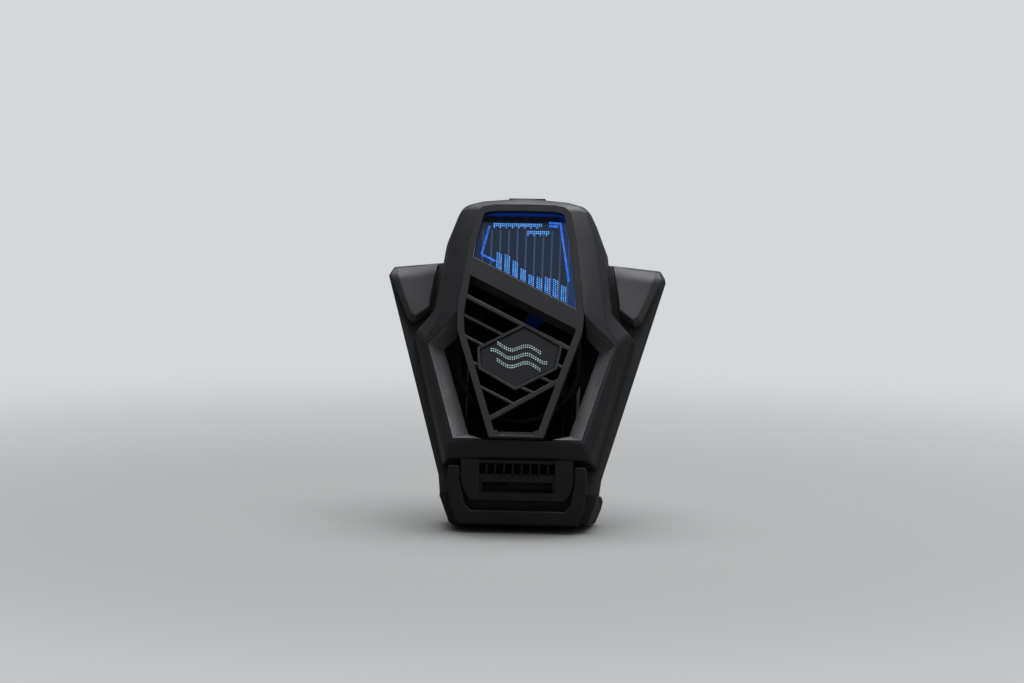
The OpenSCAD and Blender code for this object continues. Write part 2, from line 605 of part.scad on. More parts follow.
// front line of the plate, moved back by d
function vent_front(d) = [[kick_y0 - 1.1 + d, cover_z - 0.3], [kick_y(vent_bend) + 0.3 + d, vent_bend],
    [kick_y(vent_bot) + 0.4 + d, vent_bot]];
module slot(half, range) slab(-far, 0)
    translate([-half, range[0]]) square([2 * half, range[1] - range[0]]);
module vent_panel() color("#2f3035") {
    difference() {
        union() {
            intersection() {
                across(-vent_w, vent_w, concat(vent_front(0), [for (i = [2:-1:0]) vent_front(1.8)[i]]));
                slab(-far, 0) polygon(sym([[vent_w / 2, cover_z], [vent_w / 2, cover_z - 6.2],
                    [vent_w / 2 - 0.6, foot_z + 9.2], [vent_w / 2 - 2.6, foot_z + 6.4]]));
            }
            both() across(vent_w / 2 - 2, vent_w / 2, [[kick_y0 + 0.2, vent_top],
                [kick_y(vent_bend) + 0.5, vent_bend], [kick_y(room_z + seam) + 0.6, room_z + seam],
                [y_floor, room_z + seam], [y_floor, vent_top]]);
        }
        // sunk middle, down to the lower slot
        intersection() {
            across(-slot_x, slot_x, concat([[-far, cover_z]], [[vent_front(vent_sink)[0][0], cover_z]],
                vent_front(vent_sink), [[-far, vent_bot]]));
            slot(slot_x, [lower_slot[0], cover_z]);
        }
        slot(slot_x, upper_slot);
        slot(slot_x - 0.8, lower_slot);
        both() rod_x(vent_w / 2 - 3, vent_w / 2 + 1, hinge_y, hinge_z, pin_r + press_gap);
    }
    // slats of the upper slot
    for (i = [-4:3]) box([(i + 0.5) * fin_pitch - 0.3, kick_y0 + 0.5, upper_slot[0] - 0.3],
        [(i + 0.5) * fin_pitch + 0.3, kick_y0 + 1.9, upper_slot[1] + 0.3]);
}

arm_top = hinge_z + 2.4;
module kickstand() color("#303136") difference() {
    intersection() {
        across(-kick_w, kick_w, [[kick_y(arm_top), arm_top], [kick_y(foot_z), foot_z],
            [kick_y(foot_z) + kick_t, foot_z], [kick_y(arm_top) + kick_t, arm_top]]);
        slab(-far, 0) difference() {
            polygon(sym([[kick_w / 2, hinge_z + 3], [kick_w / 2 + 0.4, -grip_z + 1.6],
                [kick_w / 2 - 0.6, foot_z + 4.6], [kick_w / 2 - 3, foot_z - 1]]));
            polygon(sym([[vent_w / 2 + move_gap, hinge_z + 4], [vent_w / 2 + move_gap, cover_z - 6.4],
                [vent_w / 2 - 1.4 + move_gap, foot_z + 5.6], [vent_w / 2 - 2.6, foot_z + 3.9]]));
        }
    }
    both() rod_x(vent_w / 2 - 1, kick_w / 2 - 0.6, hinge_y, hinge_z, pin_r + run_gap);
}
module kickstand_pins() color("#c4c6ca")
    both() rod_x(vent_w / 2 - 1.8, kick_w / 2 - 0.9, hinge_y, hinge_z, pin_r);

// Fan
hub_top = y_fan + 0.7;
hub_back = y_fin - 2.1;
cup_r = hub_r - 0.9;
tube_r = shaft_r + 1.7;
tip_gap = 0.6;
duct_t = 0.9;
strut_w = 2;
strut_t = 1.2;
module blade() {
    n = 3;
    polyhedron([for (k = [0:n])
        let (r = hub_r - 0.4 + (fan_r - hub_r + 0.4) * k / n, pitch = 48 - 16 * k / n,
            lead = 26 - 5 * k, c = 3.1)
            for (p = [[-c, 0.3], [c, 0.3], [c, -0.3], [-c, -0.3]])
            let (u = p[0] * cos(pitch) - p[1] * sin(pitch), v = p[0] * sin(pitch) + p[1] * cos(pitch),
                w = lead + u / r * 57.3)
            [r * cos(w), (hub_top + hub_back) / 2 + v, r * sin(w)]],
        concat([[0, 1, 2, 3]],
            [for (k = [0:n - 1]) for (j = [0:3]) let (a = 4 * k + j, b = 4 * k + (j + 1) % 4)
                each [[a, a + 4, b], [b, a + 4, b + 4]]],
            [[4 * n + 3, 4 * n + 2, 4 * n + 1, 4 * n]]));
}
module fan_rotor() color("#2a2b2f") translate([0, 0, fan_z]) difference() {
    union() {
        rod_y(0, 0, hub_top, hub_back, hub_r);
        for (i = [0:blade_n - 1]) rotate([0, i * 360 / blade_n, 0]) blade();
    }
    rod_y(0, 0, hub_top + 1, hub_back + 1, cup_r);
    rod_y(0, 0, hub_top + 0.3, hub_back + 1, shaft_r + press_gap);
}
module fan_shaft() color("#d0d2d6") rod_y(0, fan_z, hub_top + 0.4, y_fin - 1.6, shaft_r);
module rotor_magnet() color("#4c4a48") translate([0, 0, fan_z]) difference() {
    rod_y(0, 0, hub_top + 1.2, hub_back - 0.3, cup_r - press_gap);
    rod_y(0, 0, hub_top, hub_back + 1, cup_r - 0.7);
}
module fan_frame() color("#232428") {
    translate([0, 0, fan_z]) {
        difference() {
            rod_y(0, 0, y_fan, y_fin, fan_r + tip_gap + duct_t);
            rod_y(0, 0, y_fan - 1, y_fin + 1, fan_r + tip_gap);
        }
        difference() {
            union() {
                rod_y(0, 0, y_fin - strut_t, y_fin, hub_r - 0.6);
                rod_y(0, 0, hub_top + 2, y_fin, tube_r);
                for (a = [45:90:315]) rotate([0, a, 0])
                    box([hub_r - 1.5, y_fin - strut_t, -strut_w / 2], [fan_r + 1, y_fin, strut_w / 2]);
            }
            rod_y(0, 0, hub_top - 1, y_fin - 0.8, shaft_r + 1 + press_gap);
        }
    }
    // pegs between the fins, under the struts
    peg_x = 3.5 * fin_pitch;
    both() for (k = [-1, 1]) rod_y(peg_x, fan_z + k * peg_x, y_fin - 0.5, y_base - 0.3, 0.8);
}
module fan_bearing() color("#b08d57") translate([0, 0, fan_z]) difference() {
    rod_y(0, 0, hub_top + 2, y_fin - 0.9, shaft_r + 1);
    rod_y(0, 0, hub_top + 1, y_fin - 0.5, shaft_r + run_gap);
}
core_r = cup_r - 0.7 - move_gap;
module stator_core() color("#8a8d92") translate([0, 0, fan_z]) difference() {
    union() {
        rod_y(0, 0, hub_top + 2.2, hub_back - 0.7, tube_r + 1);
        for (a = [0:90:270]) rotate([0, a, 0]) {
            box([tube_r, hub_top + 2.2, -0.7], [core_r - 0.6, hub_back - 0.7, 0.7]);
            intersection() {
                box([core_r - 1, hub_top + 2.2, -2.2], [core_r, hub_back - 0.7, 2.2]);
                rod_y(0, 0, hub_top, hub_back, core_r);
            }
        }
    }
    rod_y(0, 0, hub_top, hub_back + 1, tube_r + press_gap);
}
module stator_coils() color("#b5651d") translate([0, 0, fan_z])
    for (a = [0:90:270]) rotate([0, a, 0]) difference() {
        box([tube_r + 1.1, hub_top + 1.8, -1.4], [core_r - 1.05, hub_back - 0.3, 1.4]);
        box([tube_r, hub_top + 2.18, -0.72], [core_r, hub_back - 0.68, 0.72]);
    }

// Cooling stack
sink_w = 2 * fin_side * fin_pitch + 1.4;
module heatsink() color("#a9acb1") difference() {
    union() {
        box([-sink_w / 2, y_base, fin_bot], [sink_w / 2, y_tec, fin_top]);
        for (p = sink_bosses) translate([p[0] / 2, 0, p[1]])
            box([-0.62 * sink_x, y_base, -2.4], [0.62 * sink_x, y_tec, 2.4]);
        for (i = [-fin_side:fin_side])
            box([i * fin_pitch - fin_t / 2, y_fin, fin_bot],
                [i * fin_pitch + fin_t / 2, y_base + 0.5, fin_top]);
    }
    for (p = sink_bosses) rod_y(p[0], p[1], y_base - 1, y_tec + 1, screw_r + 0.1);
}
module heatsink_screws() color("#c4c6ca") for (p = sink_bosses) {
    rod_y(p[0], p[1], y_base - 1.1, y_base, head_r - 0.1);
    rod_y(p[0], p[1], y_base - 0.1, y_floor, screw_r);
}
ceramic_t = 0.8;
module ceramic(front) slab(front, front + ceramic_t) square(tec_w, center = true);
module peltier_hot_side() color("#e8e6df") ceramic(y_tec);
module peltier_cold_side() color("#e8e6df") ceramic(y_plate - ceramic_t);
module peltier_pellets() color("#7d7468") for (i = [-2:2]) for (j = [-2:2])
    translate([i * tec_w / 5.4, 0, j * tec_w / 5.4])
        slab(y_tec + ceramic_t, y_plate - ceramic_t) square(2.4, center = true);
module cold_plate() color("#c9ccd1") {
    box([-plate_w / 2, y_floor - 0.1, -plate_h / 2], [plate_w / 2, y_pad, plate_h / 2]);
    box([-plate_w / 2 - 1.2, y_plate, -plate_h / 2 - 1.2], [plate_w / 2 + 1.2, y_floor, plate_h / 2 + 1.2]);
}
module thermal_pad() color("#9aa0a6") slab(y_pad, 0) square([plate_w - 2, plate_h - 2], center = true);

board_y = y_floor - 1.2;
module control_board() color("#1e4a34")
    box([-vent_w / 2 + 2.4, board_y - 1, -grip_z + 1.9], [vent_w / 2 - 2.4, board_y, cover_z + 1.8]);
module board_parts() color("#141517") for (p = [[-6, 0, 5], [3, 1, 3.4], [9, -1, 2.6]])
    translate([p[0], 0, -grip_z + 6 + p[1]]) slab(board_y - 1.8, board_y - 1) square(p[2], center = true);

module housing_screws() color("#8b8d92") for (p = cover_bosses) {
    rod_y(p[0], p[1], y_rear - 0.9, y_rear - 0.15, head_r);
    rod_y(p[0], p[1], y_part - 5, y_rear - 0.8, screw_r);
}
module jaw_screws() color("#8b8d92") both() translate([jaw_screw_x, jaw_screw_y, foot_z + 4]) {
    cylinder(h = 1.2, r = jaw_head_r);
    cylinder(h = -grip_z + 4.8 - foot_z - 4, r = screw_r);
}
module rear_pads() color("#17181a") both() for (z = [top_z - 18, -29.5])
    translate([z > 0 ? 17.4 : 16.6, 0, z]) slab(y_rear, 0) square([5, 6], center = true);

rear_housing();
front_cover();
grille();
window_lens();
light_panel();
led_strip();
badge_plate();
badge_board();
left_bezel();
right_bezel();
left_button();
right_button();
left_switch();
right_switch();
upper_jaw();
upper_jaw_pad();
left_clamp_spring();
right_clamp_spring();
release_button();
release_spring();
lower_jaw();
lower_jaw_pad();
jaw_cover();
usb_plug();
usb_socket();
socket_tongue();
port_board();
vent_panel();
kickstand();
kickstand_pins();
fan_rotor();
fan_shaft();
rotor_magnet();
fan_frame();
fan_bearing();
stator_core();
stator_coils();
heatsink();
heatsink_screws();
peltier_hot_side();
peltier_pellets();
peltier_cold_side();
cold_plate();
thermal_pad();
control_board();
board_parts();
housing_screws();
jaw_screws();
rear_pads();
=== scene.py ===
"""Looks of a clamp-on cooler with a fan, a lit window, side buttons and a fold-out stand.

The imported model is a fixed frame. Each class dresses one sub-assembly: solids whose shape is right
keep it and get a finish, others are replaced by copies with rounded edges or by finer pieces.
Lengths are in millimetres, and MM turns them into the frame's metres. X runs across, Y from front
to back and Z up.
"""

from __future__ import annotations

import json
import logging
import math
from abc import ABC, abstractmethod
from dataclasses import dataclass
from enum import Enum
from functools import cached_property
from typing import Any, Callable, Iterable

import bmesh
import bpy
from mathutils import Matrix, Vector

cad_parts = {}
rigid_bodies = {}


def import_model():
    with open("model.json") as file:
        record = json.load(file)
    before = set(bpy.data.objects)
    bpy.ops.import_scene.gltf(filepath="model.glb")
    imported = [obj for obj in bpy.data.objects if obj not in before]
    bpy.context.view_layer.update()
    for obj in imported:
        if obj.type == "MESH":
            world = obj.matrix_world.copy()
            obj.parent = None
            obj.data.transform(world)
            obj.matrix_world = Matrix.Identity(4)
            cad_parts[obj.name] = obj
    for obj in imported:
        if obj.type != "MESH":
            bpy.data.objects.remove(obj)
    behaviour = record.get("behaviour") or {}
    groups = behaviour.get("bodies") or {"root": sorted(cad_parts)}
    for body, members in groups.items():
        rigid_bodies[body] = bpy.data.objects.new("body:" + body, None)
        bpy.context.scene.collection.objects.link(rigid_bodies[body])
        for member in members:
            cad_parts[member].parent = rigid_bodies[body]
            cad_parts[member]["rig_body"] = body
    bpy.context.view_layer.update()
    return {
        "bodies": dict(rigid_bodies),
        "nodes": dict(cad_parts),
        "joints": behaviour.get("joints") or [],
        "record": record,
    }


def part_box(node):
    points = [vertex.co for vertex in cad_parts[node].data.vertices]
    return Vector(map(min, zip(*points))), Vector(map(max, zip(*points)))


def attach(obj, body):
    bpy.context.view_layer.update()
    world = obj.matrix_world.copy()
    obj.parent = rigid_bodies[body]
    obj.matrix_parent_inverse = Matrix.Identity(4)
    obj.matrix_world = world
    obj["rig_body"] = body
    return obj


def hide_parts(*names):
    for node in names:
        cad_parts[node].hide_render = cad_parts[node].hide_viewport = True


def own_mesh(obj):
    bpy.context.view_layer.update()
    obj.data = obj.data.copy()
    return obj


LOG = logging.getLogger("cooler")
MM = 0.001
# Brushed streaks are this many times as long as wide.
STREAK_RATIO = 50
# The grille's band falls by this much for each millimetre to the right.
BAND_SLOPE = 0.5
BLACK = (0.0, 0.0, 0.0)

Triple = tuple[float, float, float]
Colour = Triple
Plan = tuple[float, float]


def tone(red: int, green: int, blue: int) -> Colour:
    """Turns a colour as a screen shows it, 0 to 255, into the linear one that shaders take."""
    shares = (value / 255 for value in (red, green, blue))
    return tuple(s / 12.92 if s <= 0.04045 else ((s + 0.055) / 1.055) ** 2.4 for s in shares)


class Graph:
    """A node tree with one method that makes any node."""

    def __init__(self, tree: bpy.types.NodeTree) -> None:
        """Empties the tree and keeps it."""
        self.tree = tree
        tree.nodes.clear()

    def node(self, kind: str, settings: dict[str, Any] | None = None,
             inputs: dict[Any, Any] | None = None) -> bpy.types.Node:
        """Makes one node.

        Args:
            kind: the node's type.
            settings: its own properties, set before its sockets.
            inputs: values or links of its sockets, by name or index.

        Returns:
            The new node.
        """
        made = self.tree.nodes.new(kind)
        for name, value in (settings or {}).items():
            setattr(made, name, value)
        for key, value in (inputs or {}).items():
            self.feed(made.inputs[key], value)
        return made

    def feed(self, socket: bpy.types.NodeSocket, value: Any) -> None:
        """Links a socket to a node's output, or sets its value.

        Args:
            socket: the input to fill.
            value: an output to link, or a plain value.
        """
        if isinstance(value, Value):
            value = value.socket
        if isinstance(value, bpy.types.NodeSocket):
            self.tree.links.new(value, socket)
        elif socket.type == "RGBA" and len(value) == 3:
            socket.default_value = (*value, 1.0)
        else:
            socket.default_value = value

    def value(self, kind: str, settings: dict[str, Any] | None = None,
              inputs: dict[Any, Any] | None = None, output: Any = 0) -> Value:
        """Makes a node and wraps one of its outputs."""
        return Value(self, self.node(kind, settings, inputs).outputs[output])

    def place(self) -> Value:
        """The surface point in the piece's own frame."""
        return self.value("ShaderNodeTexCoord", output="Object")

    def axes(self, point: Value) -> tuple[Value, Value, Value]:
        """Splits a vector into its three numbers."""
        parts = self.node("ShaderNodeSeparateXYZ", inputs={0: point})
        return tuple(Value(self, out) for out in parts.outputs)

    def noise(self, point: Value, size_mm: float, detail: float) -> Value:
        """Noise from 0 to 1 whose lumps are about size_mm wide."""
        return self.value("ShaderNodeTexNoise", inputs={
            "Vector": point, "Scale": 1 / (size_mm * MM), "Detail": detail, "Roughness": 0.5})

    def streaks(self, point: Value, size_mm: float) -> Value:
        """Noise from 0 to 1 drawn out along the piece's height."""
        drawn = self.value("ShaderNodeMapping", inputs={"Vector": point, "Scale": (1, 1, 1 / STREAK_RATIO)})
        return self.noise(drawn, size_mm, detail=1.0)

    def blend(self, factor: Value, low: Any, high: Any) -> Value:
        """Mixes two colours by a factor.

        Args:
            factor: 0 for the first colour, 1 for the second.
            low: the first colour.
            high: the second colour.

        Returns:
            The mixed colour.
        """
        mixed = self.node("ShaderNodeMix", {"data_type": "RGBA"})
        for index, given in ((0, factor), (6, low), (7, high)):
            self.feed(mixed.inputs[index], given)
        return Value(self, mixed.outputs[2])

    def bump(self, height: Value, depth_mm: float) -> Value:
        """A normal bent by a height from 0 to 1 that stands depth_mm deep."""
        return self.value("ShaderNodeBump", inputs={
            "Strength": 1.0, "Distance": depth_mm * MM, "Height": height})

    def principled(self, inputs: dict[str, Any]) -> bpy.types.NodeSocket:
        """A Principled shader with those sockets filled."""
        return self.node("ShaderNodeBsdfPrincipled", inputs=inputs).outputs[0]


class Value:
    """An output of a node, with the operators that add Math nodes where it is a number."""

    def __init__(self, graph: Graph, socket: bpy.types.NodeSocket) -> None:
        """Keeps the socket and the graph that it is in."""
        self.graph = graph
        self.socket = socket

    def math(self, operation: str, *others: Any, swap: bool = False) -> Value:
        """Adds one Math node.

        Args:
            operation: the node's operation.
            others: the other numbers or values.
            swap: whether this value comes second.

        Returns:
            The result.
        """
        given = [self, *others]
        if swap:
            given.reverse()
        return self.graph.value("ShaderNodeMath", {"operation": operation}, dict(enumerate(given)))

    def __add__(self, other: Any) -> Value:
        """Sum."""
        return self.math("ADD", other)

    __radd__ = __add__

    def __sub__(self, other: Any) -> Value:
        """Difference."""
        return self.math("SUBTRACT", other)

    def __rsub__(self, other: Any) -> Value:
        """Difference, the other way round."""
        return self.math("SUBTRACT", other, swap=True)

    def __mul__(self, other: Any) -> Value:
        """Product."""
        return self.math("MULTIPLY", other)

    __rmul__ = __mul__

    def __abs__(self) -> Value:
        """Size without its sign."""
        return self.math("ABSOLUTE")

    def step(self, low: float, high: float) -> Value:
        """A smooth step from 0 at low to 1 at high."""
        return self.graph.value("ShaderNodeMapRange", {"interpolation_type": "SMOOTHSTEP"}, {
            "Value": self, "From Min": low, "From Max": high})

    def past(self, low_mm: float, high_mm: float) -> Value:
        """A smooth step between two lengths in millimetres."""
        return self.step(low_mm * MM, high_mm * MM)


class Grain(Enum):
    """How a finish varies over its surface."""

    MOULDED = "fine texture of a spark-eroded mould"
    BRUSHED = "streaks along the piece's height"
    MOTTLED = "soft cloudy patches"
    STACKED = "thin sheets stacked front to back"


class Surface(ABC):
    """Anything that a piece can be finished with."""

    slot: str

    @property
    def name(self) -> str:
        """The material's name."""
        return f"{type(self).__name__}_{self.slot}"

    def material(self) -> bpy.types.Material:
        """Makes the finish's material, once.

        Returns:
            The material, new or found by its name.
        """
        found = bpy.data.materials.get(self.name)
        if found is not None:
            return found
        made = bpy.data.materials.new(self.name)
        made.use_nodes = True
        graph = Graph(made.node_tree)
        shader = self.shader(graph)
        graph.node("ShaderNodeOutputMaterial", inputs={"Surface": shader})
        return made

    @abstractmethod
    def shader(self, graph: Graph) -> bpy.types.NodeSocket:
        """Builds the nodes and returns the shader's output."""


@dataclass(frozen=True)
class Finish(Surface):
    """An opaque finish: a colour with grain, its gloss and its fine relief."""

    slot: str
    colour: Colour
    roughness: float
    grain: Grain = Grain.MOULDED
    grain_mm: float = 0.32
    relief_mm: float = 0.012
    vary: float = 0.16
    metallic: float = 0.0
    coat: float = 0.0
    specular: float = 0.5

    BROAD_MM = 9.0
    BROAD_SHARE = 0.55
    SHADE_RANGE = (0.25, 0.75)
    GLOSS_SPREAD = 0.1
    COAT_ROUGHNESS = 0.25

    def shader(self, graph: Graph) -> bpy.types.NodeSocket:
        """Builds a Principled shader with colour, roughness and relief from the grain.

        Args:
            graph: the material's node tree.

        Returns:
            The shader's output.
        """
        point = graph.place()
        fine = self._fine(graph, point)
        broad = graph.noise(point, self.BROAD_MM, detail=3.0)
        shade = self.BROAD_SHARE * broad + (1 - self.BROAD_SHARE) * fine
        dark = tuple(c * (1 - self.vary) for c in self.colour)
        light = tuple(c * (1 + self.vary) for c in self.colour)
        colour = graph.blend(shade.step(*self.SHADE_RANGE), dark, light)
        return graph.principled({
            "Base Color": self._with_painted_shade(graph, point, colour),
            "Roughness": self.roughness - self.GLOSS_SPREAD / 2 + self.GLOSS_SPREAD * shade,
            "Metallic": self.metallic,
            "Coat Weight": self.coat,
            "Coat Roughness": self.COAT_ROUGHNESS,
            "Specular IOR Level": self.specular,
            "Normal": graph.bump(fine, self.relief_mm),
        })

    def _with_painted_shade(self, graph: Graph, point: Value, colour: Value) -> Value:
        """The colour as it is, for finishes with no painted shade."""
        return colour

    def _fine(self, graph: Graph, point: Value) -> Value:
        """Builds the fine pattern of the grain.

        Args:
            graph: the material's node tree.
            point: the surface point.

        Returns:
            A number from 0 to 1.
        """
        if self.grain is Grain.BRUSHED:
            return graph.streaks(point, self.grain_mm)
        if self.grain is Grain.MOTTLED:
            return graph.noise(point, self.grain_mm, detail=4.0)
        if self.grain is Grain.STACKED:
            depth = graph.axes(point)[1]
            return (depth * (math.tau / (self.grain_mm * MM))).math("SINE") * 0.5 + 0.5
        return graph.noise(point, self.grain_mm, detail=2.0)


@dataclass(frozen=True)
class ShadedSlotFinish(Finish):
    """A finish with a darker field of painted shade, where the slats of an air slot lie in shadow."""

    half_width: float = 0.0
    low: float = 0.0
    high: float = 0.0
    slot_shade: Colour = BLACK

    FADE = 0.1

    def _with_painted_shade(self, graph: Graph, point: Value, colour: Value) -> Value:
        """Darkens the colour inside the field with painted shade.

        Args:
            graph: the material's node tree.
            point: the surface point.
            colour: the clean colour.

        Returns:
            The colour with the painted shade.
        """
        x, _, z = graph.axes(point)
        within = 1 - abs(x).past(self.half_width - self.FADE, self.half_width + self.FADE)
        for edge, way in ((self.low, 1), (self.high, -1)):
            within = within * ((z - edge * MM) * way).past(-self.FADE, self.FADE)
        # Painted shade: inside the field the colour turns to the dark shade colour, as if in shadow.
        return graph.blend(within, colour, self.slot_shade)


@dataclass(frozen=True)
class Lens(Surface):
    """Clear smoked plastic with a gloss."""

    slot: str
    tint: Colour
    cover: float

    GLOSS = 0.04
    SMEAR = 0.1
    SMEAR_MM = 4.0

    def shader(self, graph: Graph) -> bpy.types.NodeSocket:
        """Builds a thin glossy film, mostly see-through, with the marks of handling in its gloss.

        Args:
            graph: the material's node tree.

        Returns:
            The shader's output.
        """
        smear = graph.noise(graph.place(), self.SMEAR_MM, detail=3.0)
        return graph.principled({
            "Base Color": self.tint,
            "Alpha": self.cover,
            "Roughness": self.GLOSS + self.SMEAR * smear,
        })


@dataclass(frozen=True)
class LitPanel(Surface):
    """Light guide: hazy, and glowing at its lit top edge, its right edge and along the band.

    Fields: the colours of the haze and the glow, and the heights of the lit edge and of the band's
    upper edge at the middle.
    """

    slot: str
    haze: Colour
    glow: Colour
    top: float
    band: float

    LAMP_EDGE = (1.1, 0.2)
    SHADE_EDGE = (3.4, 2.2)
    SIDE_SLANT = 0.16
    SIDE_EDGE = (15.6, 17.6)
    BAND_EDGE = (0.5, 8.0)
    LAMP_GLOW = 0.45
    SIDE_GLOW = 0.16
    BAND_GLOW = 0.2
    CLOUD = 0.3
    LAMP_CLOUD = 0.4
    SIDE_CLOUD = 0.2
    SPECKLE = 0.6
    SPECKLE_MM = 0.5
    SHADE = tone(6, 8, 20)
    BASE = tone(14, 18, 30)

    def shader(self, graph: Graph) -> bpy.types.NodeSocket:
        """Builds a see-through shader whose glow fades away from the edges.

        Args:
            graph: the material's node tree.

        Returns:
            The shader's output.
        """
        point = graph.place()
        x, _, z = graph.axes(point)
        lamps = z.past(*(self.top - edge for edge in self.LAMP_EDGE))
        below = 1 - z.past(*(self.top - edge for edge in self.SHADE_EDGE))
        side = (x + self.SIDE_SLANT * z).past(*self.SIDE_EDGE)
        above_band = z + BAND_SLOPE * x - self.band * MM
        spill = (1 - above_band.past(*self.BAND_EDGE)) * self.BAND_GLOW
        specks = graph.noise(point, self.SPECKLE_MM, detail=1.0)
        speckle = 1 - self.SPECKLE / 2 + self.SPECKLE * specks
        amount = (self.LAMP_GLOW * lamps + self.SIDE_GLOW * side + spill) * speckle
        return graph.principled({
            "Base Color": self.BASE,
            "Roughness": 0.25,
            "Alpha": self.CLOUD + self.LAMP_CLOUD * lamps + self.SIDE_CLOUD * side,
            "Emission Color": graph.blend(amount, graph.blend(below, self.SHADE, self.haze), self.glow),
            "Emission Strength": 1.0,
        })


@dataclass(frozen=True)
class Glow(Surface):
    """A mark that shines by itself, a little unevenly."""

    slot: str
    kind: str
    colour: Colour
    strength: float

    FLICKER_MM = 1.1
    FLICKER_RANGE = (0.3, 0.7)
    DIMMEST = 0.55
    BASE = tone(30, 36, 52)

    @property
    def name(self) -> str:
        """The material's name, with its kind, because several share one slot."""
        return f"{super().name}_{self.kind}"

    def shader(self, graph: Graph) -> bpy.types.NodeSocket:
        """Builds an emitting shader whose light varies from place to place.

        Args:
            graph: the material's node tree.

        Returns:
            The shader's output.
        """
        flicker = graph.noise(graph.place(), self.FLICKER_MM, detail=2.0).step(*self.FLICKER_RANGE)
        dim = tuple(c * self.DIMMEST for c in self.colour)
        return graph.principled({
            "Base Color": self.BASE,
            "Roughness": 0.4,
            "Emission Color": graph.blend(flicker, dim, self.colour),
            "Emission Strength": self.strength,
        })


@dataclass(frozen=True)
class Fins(Surface):
    """Black anodised metal whose front edges are milled bare, with painted light from the lamps on them and
    a painted glow under the band.

    Fields: the colours of bare and black metal, of the painted light on the bare edges and of the painted
    glow of light that leaks under the band, the depth of the bare edges' back, and the height above which
    they are bare at the middle.
    """

    slot: str
    bare: Colour
    black: Colour
    painted_edge_light: Colour
    painted_leak_glow: Colour
    edge_y: float
    bare_z: float

    EDGE_FADE = (-0.05, 0.15)
    BARE_FADE = (-1.0, 1.0)
    LEAK_FADE = (-13.0, -7.0)
    LEAK_LEFT = (-5.0, 2.0)
    LEAK_RIGHT = (6.0, 12.0)
    STREAK_MM = 0.3
    STREAK_DEPTH_MM = 0.006
    STREAK_SHARE = 0.3
    GLOSS = (0.36, 0.16)
    METAL = (0.85, 0.7)

    def shader(self, graph: Graph) -> bpy.types.NodeSocket:
        """Builds bare metal in front of edge_y and above the band's slope, and black elsewhere, with
        painted light as emission.

        Args:
            graph: the material's node tree.

        Returns:
            The shader's output.
        """
        point = graph.place()
        across, depth, height = graph.axes(point)
        streak = graph.streaks(point, self.STREAK_MM)
        front = 1 - depth.past(*(self.edge_y + fade for fade in self.EDGE_FADE))
        level = height + BAND_SLOPE * across
        bare = front * level.past(*(self.bare_z + fade for fade in self.BARE_FADE))
        under = level.past(*(self.bare_z + fade for fade in self.LEAK_FADE))
        middle = across.past(*self.LEAK_LEFT) * (1 - across.past(*self.LEAK_RIGHT))
        painted_leak_glow = graph.blend(under * middle, BLACK, self.painted_leak_glow)
        streaked = 1 - self.STREAK_SHARE + self.STREAK_SHARE * streak
        return graph.principled({
            "Base Color": graph.blend(bare * streaked, self.black, self.bare),
            "Roughness": self.GLOSS[0] + self.GLOSS[1] * streak,
            "Metallic": self.METAL[0] - self.METAL[1] * bare,
            # Painted light: emission lights the bare edges and paints a glow under the band.
            "Emission Color": graph.blend(bare, painted_leak_glow, self.painted_edge_light),
            "Emission Strength": 1.0,
            "Normal": graph.bump(streak, self.STREAK_DEPTH_MM),
        })


